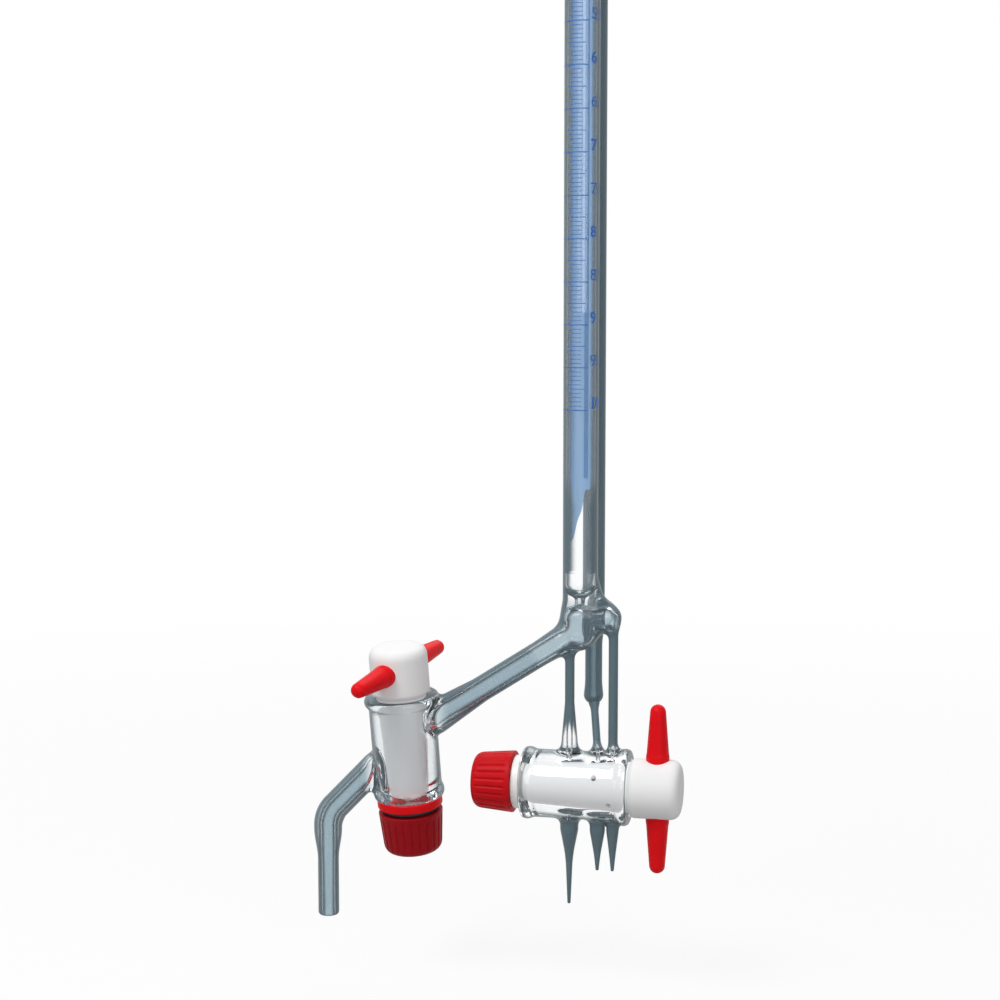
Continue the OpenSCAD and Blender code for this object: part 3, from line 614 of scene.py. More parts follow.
# The return tube: runs down behind the measuring tube, narrows beside the header and ends round,
# where the drain line leaves it.
step_high, step_low, return_low_r, return_end = -60, -64, 2.35, -81.5
return_wall = return_r - return_bore_r
return_end_r = return_low_r + 0.35
return_hollow_r = return_low_r - return_wall + 0.2


def return_skin(end_r, low_r, high_r):
    """The outside or the bore, as a profile from the round end up: a quarter circle of radius end_r, then
    the narrow run, the step and the wide run."""
    turn = np.linspace(0, math.pi / 2, 12)
    end_z = return_end + return_end_r
    round_end = np.stack([end_r * np.sin(turn), end_z - end_r * np.cos(turn)], -1)
    side = rounded([
        (end_r, end_z), (low_r, return_end + 6), (low_r, step_low), (high_r, step_high), (high_r, top_cut)
    ], [1.5, 1.5, 1.5])
    return np.concatenate([round_end, side[1:]])


return_profile = np.concatenate([
    return_skin(return_end_r, return_low_r, return_r),
    return_skin(return_hollow_r, return_low_r - return_wall, return_bore_r)[::-1]
])
# Painted shade reaching far in from the edges, and a painted shade tint right through.
finished_glass(
    turned("overflow_return", return_profile, (return_x, return_y, 0), around=72), ["return_tube"], 0.78,
    [((return_x, return_y, top_cut), up)], 0.8
)

# The header: a small chamber blown between the measuring tube, the side arm and two of the lines,
# with a shoulder on its right over the purge line.
header_low, header_high, header_wall = -65, -52.5, 1.1
throat_r = 1
arm_z = -59.5
titration_x, drain_x, purge_x = -2.8, 5.0, 9.2
narrow_r, narrow_bore_r = 1.3, 0.6
drain_r, drain_bore_r = 1.05, 0.5
lobe_x, lobe_z, lobe_r = 6.7, -56.1, 3.8
titration_cut, purge_cut = -70.5, -63.5
barrel_r, barrel_l = 9.3, 29.4
key_z, key_rim_x = -102.6, 13.8
fill_rim = np.array([-50, 0, -79.5])
fill_middle = -13.6
fill_lean, fill_nod = math.radians(2.6), math.radians(6.5)
fill_turn = math.radians(75)
port_rise = 14.4
fill_frame = np.array(
    Matrix.Translation(fill_rim) @ Matrix.Rotation(-fill_lean, 4, "Y")
    @ Matrix.Translation((0, 0, fill_middle)) @ Matrix.Rotation(fill_nod, 4, "X")
    @ Matrix.Translation((0, 0, -fill_middle))
)


def fill_at(x, z):
    """A point of the fill stopcock's own frame, x across it and z along it from its rim, in the object's."""
    return (fill_frame @ (x, 0, z, 1))[:3]


arm_start = np.array([0, 0, arm_z])
arm_port = fill_at(barrel_r, port_rise / 2 + fill_middle)
arm_run = np.linalg.norm(arm_port - arm_start)
arm_way = (arm_port - arm_start) / arm_run
arm_r, arm_bore_r = 3.5, 2.2
arm_cut_high, arm_cut_low = 15, arm_run - 17


def along_arm(distance):
    """The point of the side arm's axis at a distance from the header's middle."""
    return arm_start + arm_way * distance


def header_away(p):
    """Roots of the tubes melted onto the chamber, and hollow: the tube's round-bottomed bore over its
    throat, the chamber, the shoulder's space, the arm's bore and the two fine bores."""
    lobe, lobe_middle = (lobe_x, 0, lobe_z), (0, 0, lobe_z)
    outside = upright_away(p, 0, 0, header_low + tube_r, tube_low + past_cut, tube_r)
    outside = melt(outside, segment_away(p, lobe_middle, lobe, tube_r, lobe_r), 2.5)
    outside = melt(outside, segment_away(p, lobe, (tube_r - 1.3, 0, lobe_z + 7), 2.6, 1.2), 4)
    outside = melt(outside, segment_away(p, arm_start, along_arm(13), 4.2, arm_r), 3)
    outside = np.minimum(outside, segment_away(p, along_arm(9), along_arm(arm_cut_high + past_cut), arm_r))
    lines = upright_away(p, titration_x, 0, header_low, titration_cut - past_cut, narrow_r)
    lines = np.minimum(lines, upright_away(p, purge_x, 0, lobe_z, purge_cut - past_cut, narrow_r))
    outside = melt(outside, lines, 2.2)
    outside = np.maximum(outside, 0.03 - upright_away(p, return_x, return_y, -90, -30, return_r))
    hollow = melt(
        upright_away(p, 0, 0, header_low + tube_r, header_high - 4.2, tube_r - header_wall),
        segment_away(p, lobe_middle, lobe, 2.4, lobe_r - 1.2), 1.5
    )
    hollow = melt(hollow, segment_away(p, arm_start, along_arm(arm_cut_high + past_cut), arm_bore_r), 1.5)
    for x, high, low in ((titration_x, header_low, titration_cut), (purge_x, lobe_z, purge_cut)):
        hollow = melt(hollow, upright_away(p, x, 0, high, low - past_cut, narrow_bore_r), 1)
    bore = upright_away(p, 0, 0, header_high + 1.7 + bore_r, tube_low + past_cut, bore_r)
    bore = melt(bore, upright_away(p, 0, 0, header_high - 1, header_high + 3, throat_r), 0.8)
    return np.maximum(outside, -np.minimum(hollow, bore))


def header_shade_reach(p):
    """Painted shade reaching right across the narrow lines' roots, and less far in over the chamber."""
    lines = np.minimum(
        upright_away(p, titration_x, 0, header_low - 1, titration_cut, narrow_r),
        upright_away(p, purge_x, 0, lobe_z - 5, purge_cut, narrow_r)
    )
    return 0.36 + 0.84 * np.clip(1 - lines / 1.2, 0, 1)


def header_shade_tint(p):
    """A painted shade tint from the bore's round bottom down."""
    return 0.62 * np.clip((header_high + 2 - p[:, 2]) / 3, 0, 1)


header = blown("blown_header", header_away, (-19, -6.5, -73), (13, 6.5, -41), 0.3)
header_cuts = [
    ((0, 0, tube_low), up, 6), (along_arm(arm_cut_high), arm_way, 4.6),
    ((titration_x, 0, titration_cut), down, 2.4), ((purge_x, 0, purge_cut), down, 2.2)
]
cut_glass(header, ["header_chamber"], header_shade_reach, header_cuts, header_shade_tint)

# The side arm: a plain tube that falls from the header to the fill stopcock. The inlet tube runs
# on from the stopcock's far side, bends down and narrows to the fire-polished hose nozzle.
# Painted shade for the side arm and the inlet: how far in from their edges it reaches, and how much it tints
# them right through.
arm_shade_reach, arm_shade_tint = 0.46, 0.75
arm_joint = along_arm(arm_cut_low)
arm_rows = [
    (arm_r, arm_cut_high), (arm_r, (arm_cut_high + arm_cut_low) / 2), (arm_r, arm_cut_low),
    (arm_bore_r, arm_cut_low), (arm_bore_r, arm_cut_high)
]
finished_glass(
    turned("sloping_arm", arm_rows, arm_start, arm_way, (0, 1, 0), around=72, loop=True), ["side_arm"],
    arm_shade_reach, [(along_arm(arm_cut_high), -arm_way), (arm_joint, arm_way)], arm_shade_tint
)
inlet_port = fill_at(-barrel_r, fill_middle - port_rise / 2)
inlet_slope = math.radians(46)
inlet_way = np.array([-math.cos(inlet_slope), 0, -math.sin(inlet_slope)])
inlet_r, inlet_bore_r, bend_r = 3.95, 1.8, 9
nozzle_x, nozzle_low, nozzle_r, nozzle_bore_r = -72.3, -144, 2.95, 1.6
inlet_cut = 6.5
inlet_joint = inlet_port + inlet_way * inlet_cut
bend_turn = math.pi / 2 - inlet_slope
inlet_fall = (inlet_port[0] - nozzle_x - bend_r * (1 - math.cos(bend_turn))) / math.sin(bend_turn)
bend_start = inlet_port + inlet_way * inlet_fall
bend_middle = bend_start + bend_r * np.array([math.sin(inlet_slope), 0, -math.cos(inlet_slope)])
bend_swell, bend_rows = 0.12, 24
lip_l = 1.0


def inlet_path(rows):
    """Middles, ways and radii of rings carried along the inlet: rows of (part, share, radius) with part
    0 for the slope, 1 for the bend and 2 for the fall to the nozzle."""
    middles, ways, radii = [], [], []
    bend_end = bend_middle + np.array([-bend_r, 0, 0])
    for part, share, radius in rows:
        if part == 0:
            middles.append(inlet_port + inlet_way * (inlet_cut + (inlet_fall - inlet_cut) * share))
            ways.append(inlet_way)
        elif part == 1:
            angle = inlet_slope + bend_turn * share
            ways.append(np.array([-math.cos(angle), 0, -math.sin(angle)]))
            middles.append(bend_middle + bend_r * np.array([-math.sin(angle), 0, math.cos(angle)]))
        else:
            middles.append(bend_end + np.array([0, 0, nozzle_low - bend_end[2]]) * share)
            ways.append(np.array([0, 0, -1.0]))
        radii.append(radius)
    return np.array(middles), np.array(ways), np.array(radii)


def carried(name, middles, ways, radii, side=(0, 1, 0), around=72):
    """A round profile carried along a path and back: ring k stands square to ways[k] round middles[k]
    with radii[k], and the last ring joins the first."""
    across = np.cross(ways, side)
    across /= np.linalg.norm(across, axis=1)[:, None]
    forth = np.cross(across, ways)
    angle = np.linspace(0, 2 * math.pi, around, endpoint=False)[None, :, None]
    points = middles[:, None] + radii[:, None, None] * (
        np.cos(angle) * forth[:, None] + np.sin(angle) * across[:, None]
    )
    return new_piece(name, points, grid_faces(len(radii), around, loop_rows=True))


fall_l = bend_middle[2] - nozzle_low
taper_rows = [
    (2, 0.02 + 0.34 * t, inlet_r + (nozzle_r - inlet_r) * (3 * t ** 2 - 2 * t ** 3))
    for t in np.linspace(0, 1, 9)
]
lip_rows = [
    (2, 1 - lip_l * (1 - math.sin(a)) / fall_l, nozzle_r - lip_l * 0.6 * (1 - math.cos(a)))
    for a in np.linspace(0, math.pi / 2, 6)
]
outer_rows = [(0, 0, inlet_r), (0, 0.5, inlet_r)] + [
    (1, t, inlet_r + bend_swell * math.sin(math.pi * t)) for t in np.linspace(0, 1, bend_rows)
] + taper_rows + [(2, 0.7, nozzle_r), (2, 0.9, nozzle_r)] + lip_rows
inner_rows = [(2, 1, nozzle_bore_r + 0.25), (2, 0.985, nozzle_bore_r), (2, 0.7, nozzle_bore_r)] + [
    (1, t, inlet_bore_r) for t in np.linspace(1, 0, bend_rows)
] + [(0, 0.5, inlet_bore_r), (0, 0, inlet_bore_r)]
finished_glass(
    carried("bent_inlet", *inlet_path(outer_rows + inner_rows)), ["inlet_nozzle"], arm_shade_reach,
    [(inlet_joint, -inlet_way)], arm_shade_tint
)

# The two stopcock barrels: blown to shape over a mandrel and ground inside to a taper, with a
# flared rim at the handle's end and a bead at the nut's. Arms, feet and jets are melted on.
taper_share, bore_rim_r = 0.05, 7.0
rim_r, rim_h, bead_r, bead_h = 10.4, 2.4, 9.8, 3.0
fill_way_r = 1.5
into_fill = np.linalg.inv(fill_frame)
arm_port_own = np.array([barrel_r, 0, port_rise / 2 + fill_middle])
inlet_port_own = np.array([-barrel_r, 0, fill_middle - port_rise / 2])
arm_way_own = -(into_fill[:3, :3] @ arm_way)
inlet_way_own = into_fill[:3, :3] @ inlet_way
arm_end_own = arm_port_own + arm_way_own * 30
inlet_end_own = inlet_port_own + inlet_way_own * 20


def barrel_outside(along, across):
    """A barrel's outside by place along and distance across its axis: its body with the round rim and
    bead melted on."""
    def disc(middle, half, r):
        """How far points are from a disc of radius r with a round edge, half as thick as it says."""
        return np.hypot(along - middle, np.maximum(across - (r - half), 0)) - half
    body = np.maximum(across - barrel_r, np.abs(along + barrel_l / 2) - barrel_l / 2 + 0.8)
    body = melt(body, disc(-rim_h / 2, rim_h / 2, rim_r), 1.6)
    return melt(body, disc(bead_h / 2 - barrel_l, bead_h / 2, bead_r), 1.2)


def barrel_hollow(along, across):
    """The ground taper, eased at the rim's mouth."""
    taper = across - (bore_rim_r + taper_share * along)
    return np.minimum(taper, np.hypot(across - bore_rim_r - 0.5, along - 0.3) - 0.8)


def fill_away(p):
    """The fill barrel in its own frame, with the side arm's flare on its right and the inlet's root on its
    left, and the oblique way through."""
    across = np.hypot(p[..., 0], p[..., 1])
    outside = barrel_outside(p[..., 2], across)
    flare = segment_away(p, arm_port_own, arm_port_own + arm_way_own * 15, 4.75, arm_r)
    arm = np.minimum(flare, segment_away(p, arm_port_own, arm_end_own, arm_r))
    outside = melt(outside, arm, 2.2)
    outside = melt(outside, segment_away(p, inlet_port_own, inlet_end_own, inlet_r), 2.6)
    hollow = barrel_hollow(p[..., 2], across)
    for port, end, bore in (
        (arm_port_own, arm_end_own, arm_bore_r), (inlet_port_own, inlet_end_own, inlet_bore_r)
    ):
        way = segment_away(p, (0, 0, fill_middle), port, fill_way_r)
        hollow = np.minimum(hollow, melt(segment_away(p, port, end, bore), way, 1.0))
    return np.maximum(outside, -hollow)


def fill_arms(p):
    """One in the glass of the arm's flare and the inlet's root, and nought in the barrel's own."""
    own = (p - fill_frame[:3, 3]) @ fill_frame[:3, :3]
    return np.clip((np.hypot(own[:, 0], own[:, 1]) - rim_r) / 2.5, 0, 1)


def placed(obj, matrix):
    """Moves a piece made in a stopcock's own frame to its place, through its mesh."""
    obj.data.transform(Matrix([[*row[:3], row[3] * mm] for row in matrix[:3]] + [[0, 0, 0, 1]]))
    return obj


fill_barrel = blown("fill_stopcock_barrel", fill_away, (-21, -12, -30.5), (26, 12, 9), 0.36)
# Painted shade reaches further in, and tints more, in the arm's flare and the inlet's root than in the
# barrel.
cut_glass(
    placed(fill_barrel, fill_frame), ["fill_barrel"], lambda p: 0.4 * fill_arms(p) + 0.06,
    [(arm_joint, -arm_way, 7), (inlet_joint, inlet_way, 5.5)], lambda p: 0.25 + 0.5 * fill_arms(p)
)
barrel_top, barrel_low = key_z + barrel_r, key_z - barrel_r
foot_high, jet_cut = barrel_top + 13.6, barrel_low - 3
purge_foot_cut = barrel_top + 6
drain_start = np.array([return_x, return_y, return_end + return_end_r])
drain_end = np.array([drain_x, 0, barrel_top])
drain_l = np.linalg.norm(drain_end - drain_start)
drain_way = (drain_end - drain_start) / drain_l
drain_cut = 4.5
drain_joint = drain_end - drain_way * drain_cut
jet_roots = {"titration": (titration_x, 2.5), "drain": (drain_x, 2.1), "purge": (purge_x, 1.7)}


def lines_away(p):
    """The feet of the three lines above the delivery barrel and the roots of the jets below it."""
    return np.minimum.reduce([
        upright_away(p, titration_x, 0, key_z + 4, foot_high, 2.9, narrow_r),
        upright_away(p, titration_x, 0, foot_high - 2, foot_high + past_cut, narrow_r),
        segment_away(p, drain_end + drain_way * 3, drain_end - drain_way * 3, 2.2, drain_r),
        segment_away(p, drain_end, drain_end - drain_way * 14, drain_r),
        upright_away(p, purge_x, 0, key_z + 6, barrel_top + 3, 1.9, narrow_r),
        upright_away(p, purge_x, 0, key_z + 6, purge_foot_cut + past_cut, narrow_r)
    ] + [upright_away(p, x, 0, jet_cut - past_cut, key_z - 5, r) for x, r in jet_roots.values()])


def delivery_away(p):
    """The delivery barrel with the feet and roots melted on, its taper and the three cross bores."""
    along, across = p[..., 0] - key_rim_x, np.hypot(p[..., 1], p[..., 2] - key_z)
    outside = melt(barrel_outside(along, across), lines_away(p), 2.4)
    hollow = np.minimum.reduce([barrel_hollow(along, across)] + [
        upright_away(p, x, 0, jet_cut - past_cut, foot_high + past_cut, narrow_bore_r)
        for x in (titration_x, purge_x)
    ] + [
        upright_away(p, drain_x, 0, jet_cut - past_cut, key_z, narrow_bore_r),
        segment_away(p, drain_end + drain_way * 4, drain_end - drain_way * 14, drain_bore_r)
    ])
    return np.maximum(outside, -hollow)


def delivery_shade_reach(p):
    """Painted shade across the lines and the jets' roots, less where the lines flare to their feet, and
    none in the barrel."""
    off_barrel = np.hypot(p[:, 1], p[:, 2] - key_z) > barrel_r + 0.2
    flare_h = np.where(np.abs(p[:, 0] - titration_x) < 3.8, 11, 3)
    flare = np.clip((barrel_top + flare_h - p[:, 2]) / (0.6 * flare_h), 0, 1) * (p[:, 2] > key_z)
    return 1.24 * np.clip(1 - lines_away(p) / 1.5, 0, 1) * off_barrel * (1 - 0.7 * flare) - 0.04


delivery_barrel = blown(
    "delivery_stopcock_barrel", delivery_away, (-17, -11.6, jet_cut - 2), (15.6, 11.6, foot_high + 2), 0.36
)
delivery_cuts = [
    ((titration_x, 0, foot_high), up, 2.6), ((purge_x, 0, purge_foot_cut), up, 2.1),
    (drain_joint, -drain_way, 1.9)
] + [((x, 0, jet_cut), down, r + 0.3) for x, r in jet_roots.values()]
cut_glass(delivery_barrel, ["delivery_barrel"], delivery_shade_reach, delivery_cuts)

# The three narrow lines from the header and the return tube down to the delivery stopcock, and the
# three jets under it, drawn out by hand to fine points.
# Painted shade right across the narrow lines and the jets.
narrow_shade_reach = 1.2
for name, x, high, low in (
    ("titration", titration_x, titration_cut, foot_high), ("purge", purge_x, purge_cut, purge_foot_cut)
):
    rows = [(narrow_r, low), (narrow_r, high), (narrow_bore_r, high), (narrow_bore_r, low)]
    finished_glass(
        turned(name + "_line", rows, (x, 0, 0), around=48, loop=True), [name + "_tube"], narrow_shade_reach,
        [((x, 0, high), up), ((x, 0, low), down)]
    )
drain_from, drain_to = return_end_r + 0.02, drain_l - drain_cut
drain_rows = [
    (drain_r + 0.5, drain_from - 0.25), (drain_r + 0.1, drain_from + 1.2), (drain_r, drain_from + 2.2),
    (drain_r, drain_to), (drain_bore_r, drain_to), (drain_bore_r, drain_from)
]
finished_glass(
    turned("drain_line", drain_rows, drain_start, drain_way, (0, 1, 0), around=40, loop=True), ["drain_tube"],
    narrow_shade_reach, [(drain_joint, drain_way)]
)
mouth_r, mouth_bore_r = 0.45, 0.2
for name, l, shoulder_share, waist_share in (
    ("titration", 24, 0.45, 0.4), ("drain", 14.2, 0.7, 0.42), ("purge", 14.2, 0.7, 0.5)
):
    x, root_r = jet_roots[name]
    waist_r, shoulder, tip = root_r * waist_share, barrel_low - l * shoulder_share, barrel_low - l
    outside = rounded([
        (root_r, jet_cut), (root_r * 0.97, jet_cut - 0.6), (waist_r, shoulder), (mouth_r, tip + 0.2),
        (mouth_r - 0.1, tip)
    ], [0.3, min(3.0, l / 8), 0])
    inside = rounded([
        (mouth_bore_r, tip), (mouth_bore_r, tip + 1), (narrow_bore_r * 0.8, shoulder),
        (narrow_bore_r, jet_cut)
    ], [0.5, 1])
    jet_profile = np.concatenate([outside, inside])[::-1]
    jet = turned(name + "_drawn_jet", jet_profile, (x, 0, 0), around=48, loop=True)
    finished_glass(jet, [name + "_jet"], narrow_shade_reach, [((x, 0, jet_cut), up)])

# The white keys: turned from PTFE bar, with a domed head, a ground taper with the ways through it
# and a threaded stem. The fill key has one oblique way, the delivery key a cross bore for each line.
head_r, head_low, head_high = 8.1, 0.3, 14.2
handle_rise = 7.7
stem_r, thread_pitch, thread_depth, thread_rows = 4.0, 1.6, 0.35, 90
plug_low, key_gap = -28.6, 0.05
plug_low_r, plug_high_r = bore_rim_r + taper_share * plug_low - key_gap, bore_rim_r - key_gap
stem_ends = {"delivery": -41.7, "fill": -43.7}
delivery_frame = np.array(Matrix.Translation((key_rim_x, 0, key_z)) @ Matrix.Rotation(math.pi / 2, 4, "Y"))
stopcocks = {"delivery": delivery_frame, "fill": fill_frame @ np.array(Matrix.Rotation(fill_turn, 4, "Z"))}
cross_way_r = 0.75
ways_through = {
    "delivery": [
        (x - key_rim_x, turn, 0, cross_way_r) for x, turn in ((titration_x, 0), (drain_x, 60), (purge_x, 120))
    ],
    "fill": [(fill_middle, 0, math.atan2(port_rise, 2 * barrel_r), fill_way_r)]
}


def bumped(tree, strength, distance, height):
    """A bump from a height."""
    return add_node(tree, "ShaderNodeBump", {"Strength": strength, "Distance": distance, "Height": height})


def ptfe_shader(tree):
    """Waxy white turned plastic: fine rings from the lathe, faintly clouded."""
    cloud = noise(tree, 260.0, 4.0)
    along = kept_number(tree, "along")
    rings = (along * 28.0).maths("SINE") * 0.5 + (along * 61.0).maths("SINE") * 0.3
    return principled(tree, {
        "Base Color": mixed(tree, cloud, (0.80, 0.80, 0.79, 1), (0.88, 0.875, 0.86, 1)), "Roughness": 0.36,
        "Normal": bumped(tree, 0.12, 0.00004, rings + cloud), "Subsurface Weight": 0.4,
        "Subsurface Radius": (1.0, 0.95, 0.95), "Subsurface Scale": 0.003
    })


def threaded(angle, radius, height):
    """The stem's radius less a helical groove, which dies away at the plug's end of the thread."""
    groove = np.clip(np.cos(angle + 2 * math.pi * height / thread_pitch) * 1.2, -1, 1) * 0.5 + 0.5
    end = np.clip((plug_low - 1.5 - height) / 1.2, 0, 1)
    return radius - thread_depth * groove * end * (np.abs(radius - stem_r) < 0.02)


def marked_along(obj):
    """Keeps each point's place along the axis that the piece was turned on, in millimetres."""
    height = read_each(obj.data.vertices, "co")[:, 2] / mm
    obj.data.attributes.new("along", "FLOAT", "POINT").data.foreach_set("value", height)
    return obj


def bored(obj, cutters):
    """Cuts the ways through a piece and removes the cutters."""
    for cutter in cutters:
        cut = obj.modifiers.new("way", "BOOLEAN")
        cut.operation, cut.solver, cut.object = "DIFFERENCE", "MANIFOLD", cutter
    mesh = bpy.data.meshes.new_from_object(obj.evaluated_get(bpy.context.evaluated_depsgraph_get()))
    obj.modifiers.clear()
    obj.data = mesh
    for cutter in cutters:
        bpy.data.objects.remove(cutter)
    return obj


def fitted(obj, stopcock, body, material, node):
    """Puts a piece made in its stopcock's own frame in its place, and finishes it."""
    placed(obj, stopcocks[stopcock])
    finished(obj, stopcock + "_" + body, [material], 40, [stopcock + "_" + node])


white_ptfe = new_material("white_ptfe", ptfe_shader)
for stopcock, stem_end in stem_ends.items():
    profile = rounded([
        (0, stem_end), (stem_r, stem_end), (stem_r, plug_low), (plug_low_r, plug_low), (plug_high_r, 0.1),
        (head_r - 1, head_low), (head_r, head_low + 1), (head_r, head_high), (0, head_high)
    ], [0.5, 0, 0.5, 0, 0.3, 0.5, 3.3], steps=12)
    stem_rows = np.linspace(stem_end + 0.5, plug_low, thread_rows)[1:-1]
    first = np.argmax(profile[:, 1] >= plug_low)
    profile = np.insert(profile, first, np.stack([np.full(len(stem_rows), stem_r), stem_rows], -1), axis=0)
    key = turned(stopcock + "_white_key", profile, wave=threaded)
    cutters = []
    for middle, turn, slope, radius in ways_through[stopcock]:
        turn = math.radians(turn)
        way = np.array([math.cos(slope) * math.cos(turn), math.cos(slope) * math.sin(turn), math.sin(slope)])
        if stopcock == "fill":
            way = np.array(Matrix.Rotation(-fill_turn, 3, "Z")) @ way
        rows = [(0, -12), (radius, -12), (radius, 12), (0, 12)]
        cutters.append(turned("cutter", rows, (0, 0, middle), way, (0, 0.1, 1), around=40))
    fitted(marked_along(bored(key, cutters)), stopcock, "key", white_ptfe, "plug")

# The red handles: one moulding through each head, with two tapered arms that have round tips, a
# collar where they leave the head, and the thin line that the mould leaves along them.
handle_half, handle_root_r, handle_tip_r = 23.3, 3.2, 2.15
pin_r, pin_half = 2.5, 7.0
seam_rise = 0.07


def red_shader(tree, moulding_and_shade_tone=1.0):
    """Moulded red plastic, half gloss, with faint flow marks and fine handling wear, darker on the nuts
    partly as painted shade.
    """
    flow = noise(tree, 180.0, 3.0)
    fine = noise(tree, 2600.0, 2.0)
    return principled(tree, {
        "Base Color": mixed(tree, flow, (0.64 * moulding_and_shade_tone, 0.002, 0.006, 1), (0.78 * moulding_and_shade_tone, 0.005, 0.010, 1)),
        "Roughness": 0.38 + 0.16 * fine, "Normal": bumped(tree, 0.15, 0.00005, fine + flow),
        "Specular IOR Level": 0.1
    })


def mould_line(angle, radius, height):
    """A seam of the mould on two sides, and each arm drawn slightly flat across it."""
    seam = seam_rise * np.exp(-(np.sin(angle) / 0.06) ** 2)
    return np.where(radius > 0.6, radius * (1 - 0.02 * np.cos(2 * angle)) + seam, radius)


red_plastic = new_material("red_moulding", red_shader)
tip_turn = np.linspace(0, math.pi / 2, 9)[1:]
tip_from = handle_half - handle_tip_r
tip = np.stack([handle_tip_r * np.cos(tip_turn), tip_from + handle_tip_r * np.sin(tip_turn)], -1)
half = np.concatenate([rounded([
    (pin_r, 0.2), (pin_r, pin_half), (handle_root_r, pin_half), (handle_root_r, 9.3),
    (handle_root_r - 0.15, 9.8), (handle_tip_r + 0.45, 15.5), (handle_tip_r, tip_from)
], [0.1, 0.1, 0.3, 0.3, 1.5]), tip])
half[-1, 0] = 0
whole = np.concatenate([half[::-1] * (1, -1), half])
for stopcock in stopcocks:
    handle = turned(
        stopcock + "_red_handle", whole, (0, 0, handle_rise), (1, 0, 0), (0, 0, 1), around=72, wave=mould_line
    )
    fitted(handle, stopcock, "key", red_plastic, "handle")

# Under each barrel a washer, a rubber ring and a fluted hand nut draw the key into its seat. The
# delivery washer is white, and the fill stopcock's is red.
washer_high = -29.5
washer_low = washer_high - 2.3
washer_bore_r = stem_r + 0.02
ring_r = 0.7
flutes, flute_depth = 24, 0.34
nut_bore_r, nut_seat_r, nut_seat_h = stem_r + 0.08, 6.4, 1.5


def rubber_shader(tree):
    """Black rubber with a dusty bloom."""
    dust = noise(tree, 900.0, 4.0)
    return principled(tree, {
        "Base Color": mixed(tree, dust, (0.010, 0.010, 0.012, 1), (0.035, 0.035, 0.038, 1)),
        "Roughness": 0.6, "Normal": bumped(tree, 0.3, 0.00003, dust)
    })


def fluted_nut(name, radius, length, face):
    """A nut from its rounded end up to its face, with grooves cut into its side: a narrow wave, deepest
    in the middle of the side, that runs out before its collar and its rounded end."""
    low = face - length
    rows = rounded([
        (nut_bore_r, low + 0.4), (stem_r + 0.5, low), (radius - 1.0, low), (radius, face), (nut_seat_r, face),
        (nut_seat_r, face - nut_seat_h), (nut_bore_r, face - nut_seat_h), (nut_bore_r, low + 0.4)
    ], [0.1, 2.6, 0.4, 0.2, 0.1, 0.1], steps=14)[:-1]
    side = np.argmax(rows[:, 1] > face - 0.45)
    wall = np.linspace(rows[side - 1], rows[side], 34)[1:-1]

    def fluted(angle, radius_at, height):
        """The radius less its groove."""
        groove = np.clip(np.cos(flutes * angle), 0, 1) ** 2
        collar_end = np.clip((face - 1.1 - height) / 0.8, 0, 1)
        round_end = np.clip((height - face + length - 0.5) / 2.2, 0, 1)
        return radius_at - flute_depth * groove * (collar_end * round_end) * (radius_at > radius - 2.6)

    return turned(name, np.insert(rows, side, wall, axis=0), around=flutes * 12, loop=True, wave=fluted)


black_rubber = new_material("black_rubber_ring", rubber_shader)
for stopcock, radius, material, slot, name in (
    ("delivery", 7.3, white_ptfe, "ptfe", "delivery_white_washer"),
    ("fill", 9.1, red_plastic, "red_plastic", "fill_red_washer")
):
    rows = rounded([
        (washer_bore_r, washer_low), (radius, washer_low), (radius, washer_high),
        (washer_bore_r, washer_high), (washer_bore_r, washer_low)
    ], [0.35, 0.35, 0.1])[:-1]
    washer = turned(name, rows, around=128, loop=True)
    fitted(marked_along(washer), stopcock, "key", material, "washer")
for stopcock, middle_r in (("delivery", 5.2), ("fill", 7.2)):
    circle = np.linspace(0, 2 * math.pi, 24, endpoint=False)
    rows = np.stack([middle_r + ring_r * np.cos(circle), washer_low - ring_r + ring_r * np.sin(circle)], -1)
    ring = turned(stopcock + "_rubber_ring", rows, loop=True)
    fitted(ring, stopcock, "key", black_rubber, "seal")
# The nuts' red is darker than the handles', the fill nut's most: partly a darker moulding and partly painted
# shade where less light falls under the barrels.
for stopcock, radius, length, face, moulding_and_shade_tone in (
    ("delivery", 8.5, 11.3, washer_low - 0.1, 0.72), ("fill", 9.0, 11.9, washer_low - 1.5, 0.42)
):
    nut_red = new_material(stopcock + "_nut_moulding_and_shade", lambda tree: red_shader(tree, moulding_and_shade_tone))
    nut = fluted_nut(stopcock + "_fluted_nut", radius, length, face)
    fitted(nut, stopcock, "nut", nut_red, "nut")

# The studio: a pale floor under the hanging burette, white all round it as the glass and the
# camera see it, soft lamps, and a camera close in front, a little above and to the right.
view_azimuth = math.radians(13)
focal_px = 2000
image_px = 1000
horizon_px = 300
origin_px = (581, 409.5)
camera_reach = 536 * mm
pitch = math.atan((image_px / 2 - horizon_px) / focal_px)
right = Vector((math.cos(view_azimuth), math.sin(view_azimuth), 0))
level = Vector((-math.sin(view_azimuth), math.cos(view_azimuth), 0))
forward = level * math.cos(pitch) - Vector((0, 0, math.sin(pitch)))
upward = right.cross(forward)
across = (origin_px[0] - image_px / 2) / focal_px
above = (image_px / 2 - origin_px[1]) / focal_px
sight = forward + right * across + upward * above
camera = bpy.data.objects.new("camera", bpy.data.cameras.new("camera"))
camera.data.sensor_width = 36
camera.data.lens = focal_px / image_px * camera.data.sensor_width
camera.data.clip_start = 10 * mm
camera.matrix_world = (
    Matrix.Translation(-sight * camera_reach / sight.dot(level))
    @ Matrix((right, upward, -forward)).transposed().to_4x4()
)
bpy.context.scene.collection.objects.link(camera)
bpy.context.scene.camera = camera

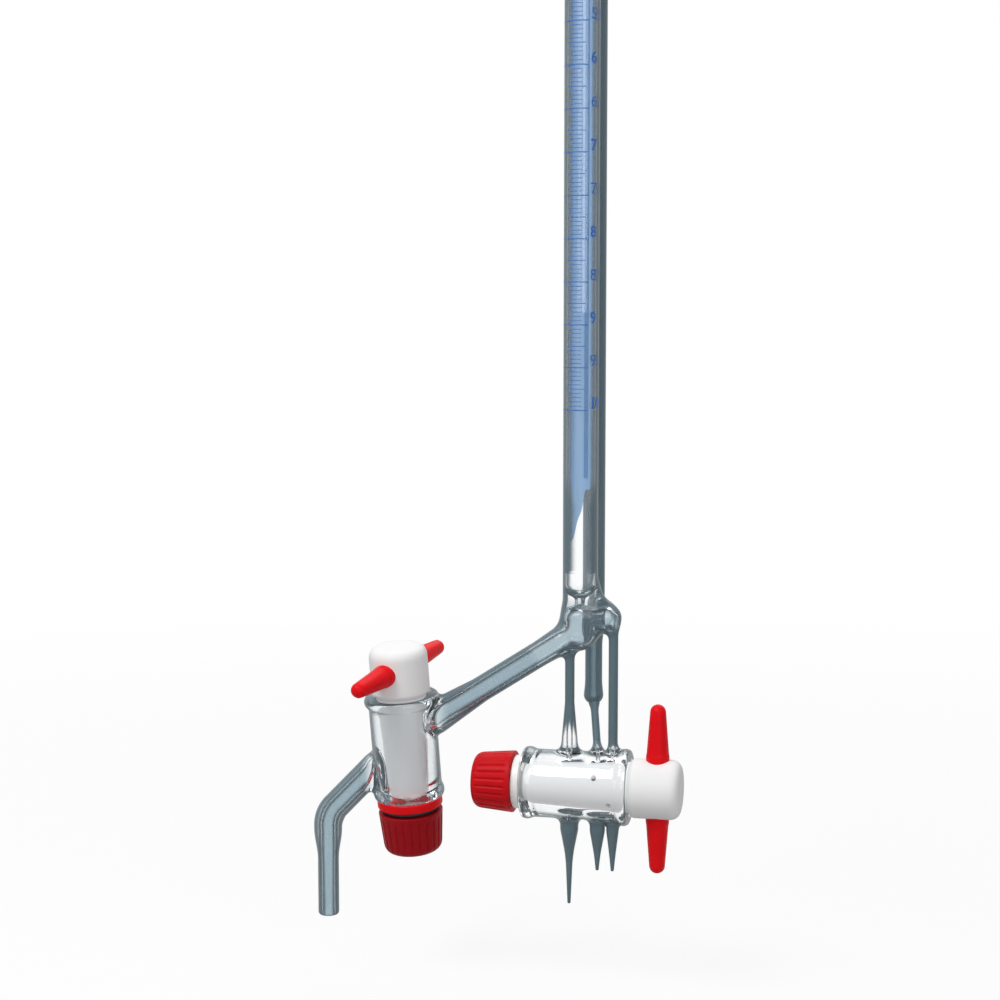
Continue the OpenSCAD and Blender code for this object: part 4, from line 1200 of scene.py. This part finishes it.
floor_gap = 15 * mm
floor_half = 12
floor_z = cad_box[0][2] - floor_gap
floor_mesh = bpy.data.meshes.new("floor")
floor_mesh.from_pydata([
    (-floor_half, -floor_half, floor_z), (floor_half, -floor_half, floor_z),
    (floor_half, floor_half, floor_z), (-floor_half, floor_half, floor_z)
], [], [(0, 1, 2, 3)])
floor = bpy.data.objects.new("floor", floor_mesh)
bpy.context.scene.collection.objects.link(floor)
seen_kinds = "Is Camera Ray", "Is Glossy Ray", "Is Transmission Ray"


def floor_shader(tree):
    """A pale floor that keeps the object's shadow near it and is plain white further off."""
    pale = add_node(tree, "ShaderNodeBsdfDiffuse", {"Color": (0.8, 0.8, 0.8, 1)})
    soft = add_node(tree, "ShaderNodeBsdfDiffuse", {"Color": (0.4, 0.4, 0.4, 1)})
    white = add_node(tree, "ShaderNodeEmission", {"Color": (1, 1, 1, 1), "Strength": 1.0})
    place = add_node(tree, "ShaderNodeTexCoord", output="Object")
    away = add_node(tree, "ShaderNodeVectorMath", {0: place}, "Value", operation="LENGTH")
    lit = either(tree, ranged(tree, away, 0.2, 0.7, 0.82, 1.0), pale, white)
    return either(tree, any_ray(tree, *seen_kinds), soft, lit)


floor.data.materials.append(new_material("pale_floor", floor_shader))

world = bpy.data.worlds.new("studio")
world.use_nodes = True
air = world.node_tree
air.nodes.clear()
plain = add_node(air, "ShaderNodeBackground", {"Color": (1, 1, 1, 1), "Strength": 0.42})
white = add_node(air, "ShaderNodeBackground", {"Color": (1, 1, 1, 1), "Strength": 1.0})
both = either(air, any_ray(air, *seen_kinds), plain, white)
add_node(air, "ShaderNodeOutputWorld", {"Surface": both})
bpy.context.scene.world = world
lamp_target = Vector((-0.02, 0, -0.06))
for name, place, size, power in (
    ("key_lamp", (-0.35, -0.45, 0.75), 0.5, 6.6), ("fill_lamp", (0.5, -0.8, 0.3), 0.6, 2.6),
    ("back_lamp", (0.1, 0.8, 0.7), 0.6, 3.0)
):
    lamp = bpy.data.objects.new(name, bpy.data.lights.new(name, "AREA"))
    lamp.data.size = size
    lamp.data.energy = power
    lamp.location = place
    aim = lamp_target - lamp.location
    lamp.rotation_euler = aim.to_track_quat("-Z", "Y").to_euler()
    bpy.context.scene.collection.objects.link(lamp)
bpy.context.scene.view_settings.view_transform = "Standard"
